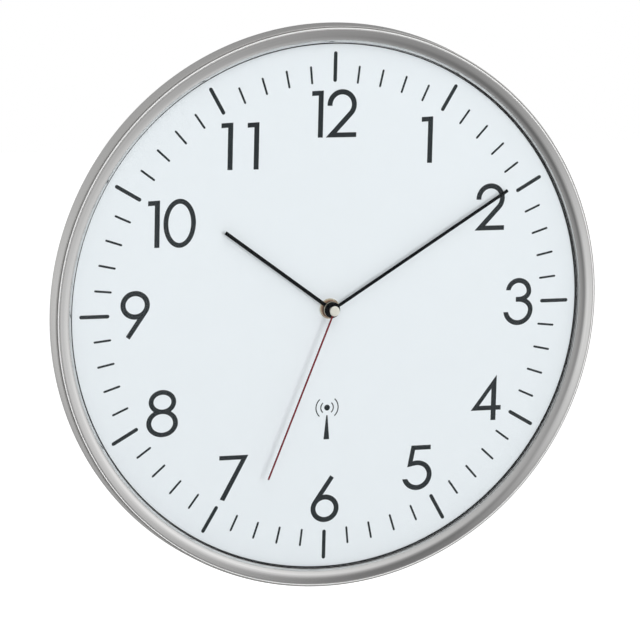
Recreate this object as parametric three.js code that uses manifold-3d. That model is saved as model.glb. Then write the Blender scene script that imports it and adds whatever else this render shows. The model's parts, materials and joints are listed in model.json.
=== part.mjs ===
// Radio-controlled wall clock, millimetres, +Z up.
// The hands turn about the Y axis. The dial faces -Y, and the wall is the plane y = 0.
// Heights are measured from the printed face of the dial towards the viewer.

import * as THREE from "three";
import { mergeVertices } from "three/addons/utils/BufferGeometryUtils.js";
import Module from "manifold-3d";

const wasm = await Module();
wasm.setup();

// Clearances
const pressGap = 0.1; // between flat faces that are clamped together
const seatGap = 0.3; // between stacked or nested parts that don't move
const boreGap = 0.25; // between an arbor or pipe and the hole it turns in
const layerGap = 0.6; // between wheels that turn at neighbouring heights
const weld = 0.2; // how far one part of a moulding reaches into the next
const overcut = 1; // how far a hole's cutting tool stands past both faces

// Rim, from the glass outwards
const wallDepth = 24; // dial face to the wall
const openingRadius = 142; // silver wall round the dial
const rimSheet = 0.8; // thickness of the rim's sheet metal
const bezelWidth = 6.9;
const bezelRise = 2.9;
const bezelShoulder = 0.5;
const bezelFoot = 0.6;
const lipOverlap = 0.4; // what the lip covers of the glass
const lipThickness = 0.4;
const ringSetback = 0.7; // how far the drum's front edge stays behind the bezel
const ringTaper = 0.8; // how much wider the drum is at the back
const ringReturn = 1.1; // width of the drum's turned-in back edge

// Glass and its gasket
const glassThickness = 1.5;
const glassRise = 14.5;
const gasketWidth = 1.0;
const gasketHeight = 1.0;

// Dial
const dialThickness = 1.0;
const dialBore = 4.3;

// Plastic frame inside the bezel
const frameFoot = 0.9; // depth of its foot below the dial face
const frameSlope = 2.3;

// Rear case
const flangeThickness = 2.5;
const caseWall = 2.2;
const shoulderInset = 2.4; // from the silver wall in to where the tapered wall starts
const caseTaper = 12.6; // how much narrower the case is at the wall
const caseCorner = 2.4;
const windowGap = 0.8; // round the movement in the rear window
const windowCorner = 3;
const skirtWall = 1.6; // of the collar that goes round the movement
const skirtDepth = 6;
const ribCount = 12;
const ribPhase = 15; // degrees from twelve o'clock
const ribThickness = 1.6;
const ribDepth = 3;
const ribLength = 26;

// Keyhole in the rear case
const keyholeInset = 41; // centre of the round entry below the upper edge of the back
const keyholeEntry = 5;
const keyholeSlot = 2.3;
const keyholeRun = 11;

// Case screws
const screwCount = 6;
const screwPhase = 30; // degrees from twelve o'clock
const screwShank = 1.3;
const screwHead = 2.4;
const screwHeadHeight = 1.1;
const screwBite = 4; // how far it reaches into the frame

// Hands, turned to clock angles in degrees, each tip a distance inside the silver wall
const hourAngle = 305.7;
const hourTipInset = 69;
const hourWidth = 1.75;
const hourHeight = 3.5;
const minuteAngle = 57.76;
const minuteTipInset = 27;
const minuteWidth = 1.45;
const minuteHeight = 4.6;
const secondAngle = 201.17;
const secondTipInset = 46.3;
const secondWidth = 0.86;
const secondHeight = 8.2;
const handThickness = 0.3;
const handBoss = 4.3;
const handBossThickness = 0.6;
const handPipeGap = 0.06;
const secondTubeWall = 0.5;
const secondBoss = 2.2;
const capRadius = 2.95;
const capHeight = 0.9;
const capBevel = 0.35;

// Coaxial arbor, pipes and bush
const secondArbor = 0.5;
const minutePipeWall = 0.75;
const hourPipeWall = 0.7;
const bushWall = 1.15;
const bushFlange = 6.5;
const bushFlangeThickness = 0.7;
const bushRise = 2.6; // above the dial face
const minutePipeTip = 1.0; // beyond the minute hand
const hourPipeTip = 0.2; // beyond the hour hand

// Fixing of the movement
const washerRadius = 5.5;
const washerThickness = 0.5;
const nutRadius = 5.3;
const nutHeight = 1.6;
const nutBevel = 0.4;
const rubberRadius = 12;
const rubberThickness = 1.0;

// Movement housing
const houseWidth = 78;
const houseHeight = 72;
const houseWall = 1.4;
const houseCorner = 3;
const coverThickness = 1.4;
const bearingWall = 0.9;
const passingBore = 0.9; // radius of a hole that an arbor goes through freely
const motionPostRadius = 1.0; // radius of the post that the motion wheel turns on
const pillarRadius = 1.8;
const pillarInset = 9.6; // from the housing's inner wall to the pillars of the middle plate
const pillarTop = 20;
const pillarBottom = -12.5;

// Battery bay, in the lower part of the housing
const bayHeight = 17; // measured up and down
const bayFloorThickness = 1.2;
const leafRoom = 4; // between the bay's end wall and the cell
const cellRecess = 0.6; // cell below the cover's outer face
const cradleRise = 4; // of the curved rails that the cell lies between
const cradleInset = 5; // from the cell's ends to the ends of the rails

// Wheels: teeth and module
const fineModule = 0.4;
const coarseModule = 0.5;
const cannonTeeth = 8;
const motionWheelTeeth = 24;
const motionModule = 0.75;
const motionPinionTeeth = 8;
const hourWheelTeeth = 32;
const centreWheelTeeth = 48;
const pinionTeeth = 6;
const minuteMidTeeth = 45;
const secondsWheelTeeth = 36;
const secondsMidTeeth = 30;
const addendum = 0.85; // of a tooth, in modules
const dedendum = 1.5;
const tipShare = 0.07; // half a tooth at its tip, as a share of the pitch
const wheelThickness = 0.9;
const pinionOverhang = 0.2; // how far a pinion stands past the wheel it drives
const arborRadius = 0.5;
const pivotDepth = 0.9; // how far an arbor enters its bearing

// Directions between axes, degrees anticlockwise from three o'clock as seen from the front
const motionDirection = 150;
const minuteMidDirection = 25;
const minuteRotorDirection = 60;
const secondsMidDirection = 215;
const secondsRotorDirection = 150;

// Plates of the movement
const middlePlateThickness = 1.0;
const middlePlateEdge = 2.5; // beyond the centres of its pillars
const bridgeThickness = 1.0;
const bridgeEdge = 4; // beyond the centres of its bearings and pillars
const plateCorner = 3;
const leftPillarRise = 12; // seconds rotor up to the left pillar of the bridge
const upperPillarRise = 1.5; // minute rotor up to the level of the upper pillar
const lowerPillarDrop = 4; // seconds pinion down to the level of the lower pillar
const lowerPillarAcross = 8; // hand axis to the lower pillar

// Stepping motors
const magnetRadius = 3;
const magnetHeight = 2.2;
const rotorClearance = 0.5;
const statorThickness = 0.8;
const statorWidth = 9;
const statorLegWidth = 3;
const coilRadius = 3.4;
const coilLength = 13;
const coilOffset = 10.5; // rotor axis to coil axis
const coilCheek = 4.2;
const coilCheekThickness = 0.8;
const statorPostRadius = 1.2; // radius of the posts under the stators
const statorPostSpread = 7; // rotor axis to those posts, up and down
const statorPostShift = 4; // rotor axis to those posts, towards the coil

// Circuit board and what it carries
const boardThickness = 1.0;
const boardGap = 2.6; // from the board to the housing, the bay and the antenna
const boardDepth = 19.2; // front face of the board below the dial face
const boardPostRadius = 2; // radius of the posts under the board
const boardPostInset = 1.5; // from the housing's inner wall to the axes of those posts
const boardPostEdge = 3; // from the board's upper and lower edges to those posts
const chipSize = 7;
const chipHeight = 1.4;
const chipUp = 2;
const crystalRadius = 1.0;
const crystalLength = 6;
const crystalUp = 14;
const crystalLeft = 8;

// Ferrite antenna
const rodRadius = 4;
const rodEndGap = 6.6; // from the housing's inner wall
const rodWallGap = 1.4; // from the housing's inner wall above
const rodDepth = 13;
const antennaCoilWall = 1.0;
const antennaCoilLength = 22;
const saddleThickness = 2;
const saddleInset = 9; // from the rod's ends
const saddleWidth = 11;

// Battery and its contacts
const cellRadius = 7.1;
const cellLength = 49.2;
const cellNubRadius = 2.7;
const cellNubLength = 1.2;
const contactThickness = 0.4;
const contactWidth = 10;
const contactCurl = 2.2; // how far the leaf's free end comes back
const contactTail = 1; // from the leaf's free end up to its lower edge

// Push buttons in the rear cover
const buttonCount = 3;
const buttonPitch = 13;
const buttonUp = 8;
const buttonRadius = 2.2;
const buttonFlange = 3.1;
const buttonFlangeThickness = 0.6;
const buttonRecess = 0.4; // face below the cover
const buttonTravel = 0.6;

// Fineness of round shapes
const rimSides = 48;
const bossSides = 18;
const pinSides = 8;
const cornerSteps = 3;
const crestSteps = 4; // round the bezel's outer face
const domeSteps = 3; // from the glass's centre to its edge
const sameDistance = 1e-4; // vertices nearer than this are one

// Finishes
const finish = (color, roughness, metalness = 0) =>
  new THREE.MeshStandardMaterial({ color, roughness, metalness });
const satinMetal = finish(0xb4b3b0, 0.32, 1);
const drumMetal = finish(0xa8a6a2, 0.4, 1);
const clearGlass = finish(0xf4f8f8, 0.04);
const blackRubber = finish(0x17181a, 0.8);
const dialWhite = finish(0xe5edf0, 0.55);
const framePlastic = finish(0x2a2b2d, 0.6);
const casePlastic = finish(0xd9d9d6, 0.5);
const handBlack = finish(0x0d0f12, 0.4);
const handRed = finish(0x8e1f2e, 0.4);
const capMetal = finish(0xdcdac8, 0.3, 0.6);
const brass = finish(0xc2a468, 0.3, 1);
const screwSteel = finish(0x8f9194, 0.35, 1);
const movementPlastic = finish(0x1b1c1e, 0.55);
const wheelPlastic = finish(0xe9e4d4, 0.5);
const buttonPlastic = finish(0xe6e6e2, 0.45);
const statorSteel = finish(0x7d8084, 0.4, 1);
const copperWire = finish(0xb3683b, 0.35, 1);
const boardGreen = finish(0x1f5a37, 0.5);
const chipBlack = finish(0x101112, 0.5);
const ferriteGrey = finish(0x3a3a3c, 0.7);
const cellGrey = finish(0x4c5258, 0.35, 0.4);
const contactSteel = finish(0xb9bbbd, 0.3, 1);

// Heights that follow from the sizes above
const glassBack = gasketHeight + seatGap;
const glassFront = glassBack + glassThickness;
const lipBack = glassFront + seatGap;
const lipFront = lipBack + lipThickness;
const bezelTop = lipFront + bezelRise;
const drumFront = bezelTop - ringSetback;
const dialBack = -dialThickness;
const flangeFront = dialBack - seatGap;
const flangeBack = flangeFront - flangeThickness;
const drumBack = flangeBack - seatGap - rimSheet;
const houseFront = dialBack - rubberThickness - 2 * pressGap;
const houseInside = houseFront - houseWall;
const coverInside = -wallDepth + coverThickness;
const hourTip = hourHeight + handBossThickness / 2 + hourPipeTip;
const minuteTip = minuteHeight + handBossThickness / 2 + minutePipeTip;

// Radii that follow from the sizes above
const glassRadius = openingRadius - seatGap;
const lipRadius = glassRadius - lipOverlap;
const gasketRadius = glassRadius - gasketWidth;
const dialRadius = openingRadius + rimSheet - pressGap;
const frameInner = openingRadius + rimSheet + seatGap;
const bezelRadius = openingRadius + bezelWidth;
const caseShoulder = openingRadius - shoulderInset;
const caseBackRadius = caseShoulder - caseTaper;
const keyholeUp = caseBackRadius - keyholeInset;
const frameOuter = bezelRadius - rimSheet - seatGap;
const drumInnerFront = bezelRadius + seatGap;
const drumInnerBack = drumInnerFront + ringTaper;
const screwCircle = (frameInner + frameOuter) / 2;
const minutePipeBore = secondArbor + boreGap;
const minutePipe = minutePipeBore + minutePipeWall;
const hourPipeBore = minutePipe + boreGap;
const hourPipe = hourPipeBore + hourPipeWall;
const bushBore = hourPipe + boreGap;
const bushRadius = bushBore + bushWall;

// The drum widens evenly from its front edge to its back edge.
function drumInnerAt(height) {
  const share = (drumFront - height) / (drumFront - drumBack);
  return drumInnerFront + ringTaper * share;
}
const flangeRadius = drumInnerAt(flangeFront) - seatGap;

// Lengths that follow from the sizes above
const hourLength = openingRadius - hourTipInset;
const minuteLength = openingRadius - minuteTipInset;
const secondLength = openingRadius - secondTipInset;
const innerHalfWidth = houseWidth / 2 - houseWall;
const innerHalfHeight = houseHeight / 2 - houseWall;
const pillarSpread = innerHalfWidth - pillarInset;
const contactStack = contactThickness + 2 * pressGap;
const bayWidth = leafRoom + cellLength + cellNubLength + contactStack;
const bayBottom = -innerHalfHeight;
const bayTop = bayBottom + bayHeight;
const rodLength = 2 * (innerHalfWidth - rodEndGap);
const rodUp = innerHalfHeight - rodWallGap - rodRadius;
const saddleSpread = rodLength - 2 * saddleInset;
const boardWidth = 2 * (innerHalfWidth - boardGap);
const boardBottom = bayTop + bayFloorThickness + boardGap;
const boardTop = rodUp - rodRadius - boardGap;

// Layers of the movement, from the dial side to the wall side
const hourWheelFront = houseInside - layerGap;
const hourWheelBack = hourWheelFront - wheelThickness;
const motionWheelFront = hourWheelBack - layerGap;
const motionWheelBack = motionWheelFront - wheelThickness;
const centreWheelFront = motionWheelBack - layerGap;
const centreWheelBack = centreWheelFront - wheelThickness;
const middlePlateFront = centreWheelBack - layerGap;
const middlePlateBack = middlePlateFront - middlePlateThickness;
const secondsWheelFront = middlePlateBack - layerGap;
const secondsWheelBack = secondsWheelFront - wheelThickness;
const secondsMidFront = secondsWheelBack - layerGap;
const secondsMidBack = secondsMidFront - wheelThickness;
const magnetFront = secondsMidBack - layerGap;
const magnetBack = magnetFront - magnetHeight;
const bridgeFront = magnetBack - layerGap;
const bridgeBack = bridgeFront - bridgeThickness;
const statorFront = (magnetFront + magnetBack + statorThickness) / 2;
const statorBack = statorFront - statorThickness;
const boardFront = -boardDepth;
const boardBack = boardFront - boardThickness;

// Axes of the wheels in the plane of the dial
const pitchRadius = (teeth, module) => (teeth * module) / 2;
const radians = (degrees) => (degrees * Math.PI) / 180;
function axisFrom(start, direction, distance) {
  return {
    x: start.x + distance * Math.cos(radians(direction)),
    z: start.z + distance * Math.sin(radians(direction)),
  };
}
const motionDistance = pitchRadius(cannonTeeth + motionWheelTeeth, motionModule);
const hourModule = (2 * motionDistance) / (motionPinionTeeth + hourWheelTeeth);
const minuteMidDistance = pitchRadius(centreWheelTeeth + pinionTeeth, coarseModule);
const minuteRotorDistance = pitchRadius(minuteMidTeeth + pinionTeeth, fineModule);
const secondsMidDistance = pitchRadius(secondsWheelTeeth + pinionTeeth, coarseModule);
const secondsRotorDistance = pitchRadius(secondsMidTeeth + pinionTeeth, fineModule);
const centre = { x: 0, z: 0 };
const motionAxis = axisFrom(centre, motionDirection, motionDistance);
const minuteMidAxis = axisFrom(centre, minuteMidDirection, minuteMidDistance);
const minuteRotorAxis = axisFrom(minuteMidAxis, minuteRotorDirection, minuteRotorDistance);
const secondsMidAxis = axisFrom(centre, secondsMidDirection, secondsMidDistance);
const secondsRotorAxis = axisFrom(secondsMidAxis, secondsRotorDirection, secondsRotorDistance);

// A closed solid from a three.js geometry, faces outwards.
function solid(geometry) {
  const bare = geometry.index ? geometry.toNonIndexed() : geometry.clone();
  bare.deleteAttribute("normal");
  bare.deleteAttribute("uv");
  const merged = mergeVertices(bare, sameDistance);
  const triVerts = new Uint32Array(merged.index.array);
  const vertProperties = new Float32Array(merged.attributes.position.array);
  const made = new wasm.Manifold(new wasm.Mesh({ numProp: 3, vertProperties, triVerts }));
  if (made.volume() > 0) return made;
  for (let i = 0; i < triVerts.length; i += 3) {
    [triVerts[i + 1], triVerts[i + 2]] = [triVerts[i + 2], triVerts[i + 1]];
  }
  return new wasm.Manifold(new wasm.Mesh({ numProp: 3, vertProperties, triVerts }));
}

// A three.js geometry from a closed solid.
function geometryOf(made) {
  const mesh = made.getMesh();
  const geometry = new THREE.BufferGeometry();
  geometry.setAttribute("position", new THREE.BufferAttribute(mesh.vertProperties, 3));
  geometry.setIndex(new THREE.BufferAttribute(mesh.triVerts, 1));
  const faceted = geometry.toNonIndexed();
  faceted.computeVertexNormals();
  return faceted;
}

const joined = (...solids) => solids.reduce((sum, piece) => sum.add(piece));
const cut = (body, ...tools) => tools.reduce((rest, tool) => rest.subtract(tool), body);

// Revolves [radius, height] points, going round the section, about the hand axis.
function turned(section, sides = rimSides) {
  const points = section.map(([radius, height]) => new THREE.Vector2(radius, -wallDepth - height));
  const first = points[0];
  if (first.x > 0) points.push(first.clone());
  return solid(new THREE.LatheGeometry(points, sides));
}

const disc = (radius, back, front, sides = bossSides) =>
  turned([[0, back], [radius, back], [radius, front], [0, front]], sides);
const tube = (inner, outer, back, front, sides = bossSides) =>
  turned([[inner, back], [outer, back], [outer, front], [inner, front]], sides);

// Extrudes an outline in the plane of the dial, x to the right and z up, between two heights.
function plate(shape, back, front) {
  const options = { depth: front - back, bevelEnabled: false, curveSegments: cornerSteps };
  const geometry = new THREE.ExtrudeGeometry(shape, options);
  geometry.rotateX(Math.PI / 2);
  geometry.translate(0, -wallDepth - back, 0);
  return solid(geometry);
}

function rectangle(left, right, bottom, top) {
  const shape = new THREE.Shape();
  shape.moveTo(left, bottom);
  shape.lineTo(right, bottom);
  shape.lineTo(right, top);
  shape.lineTo(left, top);
  shape.closePath();
  return shape;
}

function roundedRectangle(left, right, bottom, top, corner) {
  const shape = new THREE.Shape();
  shape.moveTo(left + corner, bottom);
  shape.lineTo(right - corner, bottom);
  shape.absarc(right - corner, bottom + corner, corner, -Math.PI / 2, 0);
  shape.lineTo(right, top - corner);
  shape.absarc(right - corner, top - corner, corner, 0, Math.PI / 2);
  shape.lineTo(left + corner, top);
  shape.absarc(left + corner, top - corner, corner, Math.PI / 2, Math.PI);
  shape.lineTo(left, bottom + corner);
  shape.absarc(left + corner, bottom + corner, corner, Math.PI, 1.5 * Math.PI);
  return shape;
}

const centredRectangle = (halfWidth, halfHeight, corner) =>
  roundedRectangle(-halfWidth, halfWidth, -halfHeight, halfHeight, corner);

const block = (left, right, bottom, top, back, front) =>
  plate(rectangle(left, right, bottom, top), back, front);

// A round cutting tool that stands past both faces of what it goes through.
const drill = (radius, back, front, sides = bossSides) =>
  disc(radius, back - overcut, front + overcut, sides);

const shifted = (made, axis) => made.translate([axis.x, 0, axis.z]);

// A cylinder along X, such as the cell or the ferrite rod.
function lyingRod(radius, left, right, up, height, sides = bossSides) {
  const geometry = new THREE.CylinderGeometry(radius, radius, right - left, sides);
  geometry.rotateZ(Math.PI / 2);
  geometry.translate((left + right) / 2, -wallDepth - height, up);
  return solid(geometry);
}

// Outline of a gear with straight flanks that meet between the teeth: narrow tips leave play.
function gearShape(teeth, module, phase) {
  const pitch = (2 * Math.PI) / teeth;
  const tip = pitchRadius(teeth, module) + addendum * module;
  const root = pitchRadius(teeth, module) - dedendum * module;
  const points = [];
  for (let tooth = 0; tooth < teeth; tooth += 1) {
    const middle = phase + tooth * pitch;
    const corners = [
      [root, middle - pitch / 2],
      [tip, middle - tipShare * pitch],
      [tip, middle + tipShare * pitch],
    ];
    for (const [radius, angle] of corners) {
      points.push(new THREE.Vector2(radius * Math.cos(angle), radius * Math.sin(angle)));
    }
  }
  return new THREE.Shape(points);
}
function gear(teeth, module, phase, back, front) {
  return plate(gearShape(teeth, module, phase), back, front);
}

// The phase that puts a gap of the driven gear opposite the driver's tooth.
function meshedPhase(driverTeeth, driverPhase, direction, drivenTeeth) {
  const along = radians(direction);
  return along + Math.PI + (Math.PI - driverTeeth * (driverPhase - along)) / drivenTeeth;
}
const wheelPhase = 0; // every large wheel has a tooth at three o'clock but the motion wheel
const motionWheelPhase = meshedPhase(cannonTeeth, wheelPhase, motionDirection, motionWheelTeeth);
const motionPinionPhase =
  meshedPhase(hourWheelTeeth, wheelPhase, motionDirection, motionPinionTeeth);
const minutePinionPhase =
  meshedPhase(centreWheelTeeth, wheelPhase, minuteMidDirection, pinionTeeth);
const minuteRotorPhase =
  meshedPhase(minuteMidTeeth, wheelPhase, minuteRotorDirection, pinionTeeth);
const secondsPinionPhase =
  meshedPhase(secondsWheelTeeth, wheelPhase, secondsMidDirection, pinionTeeth);
const secondsRotorPhase =
  meshedPhase(secondsMidTeeth, wheelPhase, secondsRotorDirection, pinionTeeth);

const clock = new THREE.Group();

function add(parent, name, made, material) {
  const mesh = new THREE.Mesh(geometryOf(made), material);
  mesh.name = name;
  parent.add(mesh);
  return mesh;
}

function turnedGroup(clockAngle) {
  const group = new THREE.Group();
  group.rotation.y = radians(clockAngle);
  clock.add(group);
  return group;
}

function axisGroup(axis) {
  const group = new THREE.Group();
  group.position.set(axis.x, 0, axis.z);
  clock.add(group);
  return group;
}

// Points of a quarter ellipse from the lip up to the crest of the bezel.
function bezelArc(startRadius, endRadius, startHeight, endHeight, steps) {
  const points = [];
  for (let step = 0; step <= steps; step += 1) {
    const turn = (step / steps) * (Math.PI / 2);
    const radius = endRadius - (endRadius - startRadius) * Math.cos(turn);
    points.push([radius, startHeight + (endHeight - startHeight) * Math.sin(turn)]);
  }
  return points;
}

function bezel() {
  const crest = bezelRadius - bezelShoulder;
  const innerWall = openingRadius + rimSheet;
  const innerCrest = bezelRadius - rimSheet - bezelShoulder / 2;
  const section = [
    [openingRadius, pressGap],
    [openingRadius, lipBack],
    [lipRadius, lipBack],
    ...bezelArc(lipRadius, crest, lipFront, bezelTop, crestSteps),
    [bezelRadius, bezelTop - bezelShoulder],
    [bezelRadius, bezelFoot],
    [bezelRadius - rimSheet, bezelFoot],
    ...bezelArc(innerWall, innerCrest, lipFront, bezelTop - rimSheet, crestSteps / 2).reverse(),
    [innerWall, pressGap],
  ];
  return turned(section);
}

function drum() {
  const lipInner = flangeRadius - ringReturn;
  const backInner = drumInnerAt(drumBack + rimSheet);
  const section = [
    [drumInnerFront, drumFront - rimSheet / 2],
    [drumInnerFront + rimSheet / 2, drumFront],
    [drumInnerFront + rimSheet, drumFront - rimSheet / 2],
    [drumInnerBack + rimSheet, drumBack + rimSheet / 2],
    [drumInnerBack + rimSheet / 2, drumBack],
    [lipInner, drumBack],
    [lipInner, drumBack + rimSheet],
    [backInner, drumBack + rimSheet],
  ];
  return turned(section);
}

// The glass is a shallow dome: both faces rise from the edge to the hand axis.
function glass() {
  const rise = (radius) => glassRise * (1 - (radius / glassRadius) ** 2);
  const inside = [];
  const outside = [];
  for (let step = 0; step <= domeSteps; step += 1) {
    const radius = (glassRadius * step) / domeSteps;
    inside.push([radius, glassBack + rise(radius)]);
    outside.unshift([radius, glassFront + rise(radius)]);
  }
  return turned([...inside, ...outside]);
}

const gasket = () => tube(gasketRadius, glassRadius, 0, gasketHeight, rimSides);

const dial = () => cut(disc(dialRadius, dialBack, 0, rimSides), drill(dialBore, dialBack, 0));

// Clock angles of a number of places, evenly round the dial
const spacedAngles = (count, phase) => Array.from({ length: count }, (_, i) => phase + (360 / count) * i);
const screwAxes = spacedAngles(screwCount, screwPhase).map((angle) =>
  axisFrom(centre, 90 - angle, screwCircle));

function frame() {
  const section = [
    [frameInner, -frameFoot],
    [frameOuter, -frameFoot],
    [frameOuter, bezelTop - rimSheet - 2 * seatGap],
    [frameInner + frameSlope, bezelTop - rimSheet - 3 * seatGap],
    [frameInner, lipFront - seatGap],
  ];
  const holeEnd = flangeBack + screwBite + 2 * seatGap;
  const hole = disc(screwShank + pressGap, -frameFoot - overcut, holeEnd, pinSides);
  return cut(turned(section), ...screwAxes.map((axis) => shifted(hole, axis)));
}

function screw() {
  const head = disc(screwHead, flangeBack - pressGap - screwHeadHeight, flangeBack - pressGap, pinSides);
  const shank = disc(screwShank, flangeBack - pressGap, flangeBack + screwBite, pinSides);
  return joined(head, shank);
}

function keyhole(back, front) {
  const entry = disc(keyholeEntry, back, front);
  const slotEnd = disc(keyholeSlot, back, front);
  const slot = block(-keyholeSlot, keyholeSlot, 0, keyholeRun, back, front);
  return joined(entry, slot, shifted(slotEnd, { x: 0, z: keyholeRun }));
}

// A dish that tapers to the wall, with a collar round the movement and ribs inside.
function rearCase() {
  const back = -wallDepth;
  const inside = back + caseWall;
  const inner = caseBackRadius - caseWall;
  const section = [
    [flangeRadius, flangeFront],
    [flangeRadius, flangeBack],
    [caseShoulder, flangeBack],
    [caseBackRadius, back + caseCorner],
    [caseBackRadius - caseCorner, back],
    [0, back],
    [0, inside],
    [inner - caseCorner, inside],
    [inner, inside + caseCorner / 2],
    [caseShoulder - caseWall, flangeFront],
  ];
  const side = houseWidth / 2 + windowGap;
  const end = houseHeight / 2 + windowGap;
  const outline = (grown) => centredRectangle(side + grown, end + grown, windowCorner + grown);
  const skirt = plate(outline(skirtWall), inside - weld, inside + skirtDepth);
  const window = plate(outline(0), back - overcut, inside + skirtDepth + overcut);
  const ribEnd = inner - caseCorner;
  const ribHalf = ribThickness / 2;
  const ribFront = inside + ribDepth;
  const rib = block(-ribHalf, ribHalf, ribEnd - ribLength, ribEnd, inside - weld, ribFront);
  const ribs = spacedAngles(ribCount, ribPhase).map((angle) => rib.rotate([0, angle, 0]));
  const hanger = shifted(keyhole(back - overcut, inside + overcut), { x: 0, z: keyholeUp });
  const hole = drill(screwShank + seatGap, flangeBack, flangeFront, pinSides);
  const shell = joined(turned(section), skirt, ...ribs);
  return cut(shell, window, hanger, ...screwAxes.map((axis) => shifted(hole, axis)));
}

// Hands point to twelve before they are turned to their clock angle.
function hand(length, width, height, boss, pipe) {
  const middle = height - handThickness / 2;
  const blade = block(-width / 2, width / 2, 0, length, middle, middle + handThickness);
  const round = disc(boss, height - handBossThickness / 2, height + handBossThickness / 2);
  return cut(joined(blade, round), drill(pipe, height, height));
}

function secondHand() {
  const bore = secondArbor + handPipeGap;
  const back = secondHeight - handThickness / 2;
  const front = back + handThickness;
  const blade = block(-secondWidth / 2, secondWidth / 2, 0, secondLength, back, front);
  const round = disc(secondBoss, back, front);
  const sleeveBack = minuteTip + seatGap;
  const sleeve = disc(bore + secondTubeWall, sleeveBack, front, pinSides);
  return cut(joined(blade, round, sleeve), drill(bore, sleeveBack, front, pinSides));
}

function cap() {
  const back = secondHeight + handThickness / 2 + pressGap;
  const front = back + capHeight;
  const section = [
    [0, back],
    [capRadius, back],
    [capRadius, front - capBevel],
    [capRadius - capBevel, front],
    [0, front],
  ];
  return turned(section, bossSides);
}

function nut() {
  const back = washerThickness + 2 * pressGap;
  const front = back + nutHeight;
  const bore = bushRadius + pressGap;
  const section = [
    [bore, back],
    [nutRadius, back],
    [nutRadius, front - nutBevel],
    [nutRadius - nutBevel, front],
    [bore, front],
  ];
  return turned(section, bossSides);
}

function bush() {
  const flange = disc(bushFlange, houseInside, houseInside + bushFlangeThickness);
  const barrel = disc(bushRadius, houseInside, bushRise);
  return cut(joined(flange, barrel), drill(bushBore, houseInside, bushRise));
}

// Teeth of the hour wheel, its pipe reaching out to the hour hand.
function hourWheel() {
  const teeth = gear(hourWheelTeeth, hourModule, wheelPhase, hourWheelBack, hourWheelFront);
  const pipe = disc(hourPipe, hourWheelBack, hourTip);
  return cut(joined(teeth, pipe), drill(hourPipeBore, hourWheelBack, hourTip));
}

// Centre wheel with the cannon pinion and the minute pipe.
function centreWheel() {
  const teeth = gear(centreWheelTeeth, coarseModule, wheelPhase, centreWheelBack, centreWheelFront);
  const cannonFront = motionWheelFront + pinionOverhang;
  const cannon = gear(cannonTeeth, motionModule, wheelPhase, centreWheelFront - weld, cannonFront);
  const pipe = disc(minutePipe, centreWheelBack, minuteTip);
  return cut(joined(teeth, cannon, pipe), drill(minutePipeBore, centreWheelBack, minuteTip));
}

// Motion wheel with the pinion that drives the hour wheel, turning on a fixed post.
function motionWheel() {
  const back = motionWheelBack;
  const front = hourWheelFront + pinionOverhang;
  const wheel = gear(motionWheelTeeth, motionModule, motionWheelPhase, back, motionWheelFront);
  const pinionBack = motionWheelFront - weld;
  const pinion = gear(motionPinionTeeth, hourModule, motionPinionPhase, pinionBack, front);
  return cut(joined(wheel, pinion), drill(motionPostRadius + pressGap, back, front, pinSides));
}

// An intermediate wheel: large wheel, pinion and arbor in one moulding.
function midWheel(wheel, pinion, arborBack, arborFront) {
  const large = gear(wheel.teeth, wheel.module, wheel.phase, wheel.back, wheel.front);
  const small = gear(pinionTeeth, pinion.module, pinion.phase, pinion.back, pinion.front);
  return joined(large, small, disc(arborRadius, arborBack, arborFront, pinSides));
}

function minuteMid() {
  const wheel = {
    teeth: minuteMidTeeth,
    module: fineModule,
    phase: wheelPhase,
    back: motionWheelBack,
    front: motionWheelFront,
  };
  const pinion = {
    module: coarseModule,
    phase: minutePinionPhase,
    back: centreWheelBack - pinionOverhang,
    front: motionWheelBack + weld,
  };
  return midWheel(wheel, pinion, middlePlateFront - pivotDepth, houseInside - pressGap);
}

function secondsMid() {
  const wheel = {
    teeth: secondsMidTeeth,
    module: fineModule,
    phase: wheelPhase,
    back: secondsMidBack,
    front: secondsMidFront,
  };
  const pinion = {
    module: coarseModule,
    phase: secondsPinionPhase,
    back: secondsMidFront - weld,
    front: secondsWheelFront + pinionOverhang,
  };
  return midWheel(wheel, pinion, bridgeFront - pivotDepth, middlePlateBack + pivotDepth);
}

function secondsWheel() {
  const back = secondsWheelBack;
  const teeth = gear(secondsWheelTeeth, coarseModule, wheelPhase, back, secondsWheelFront);
  const tip = secondHeight + handThickness / 2;
  return joined(teeth, disc(secondArbor, bridgeFront - pivotDepth, tip, pinSides));
}

// A rotor: two-pole magnet, pinion and arbor.
function rotor(phase, pinionBack, pinionFront, arborFront) {
  const magnet = disc(magnetRadius, magnetBack, magnetFront);
  const pinion = gear(pinionTeeth, fineModule, phase, pinionBack, pinionFront);
  return joined(magnet, pinion, disc(arborRadius, bridgeFront - pivotDepth, arborFront, pinSides));
}

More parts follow.
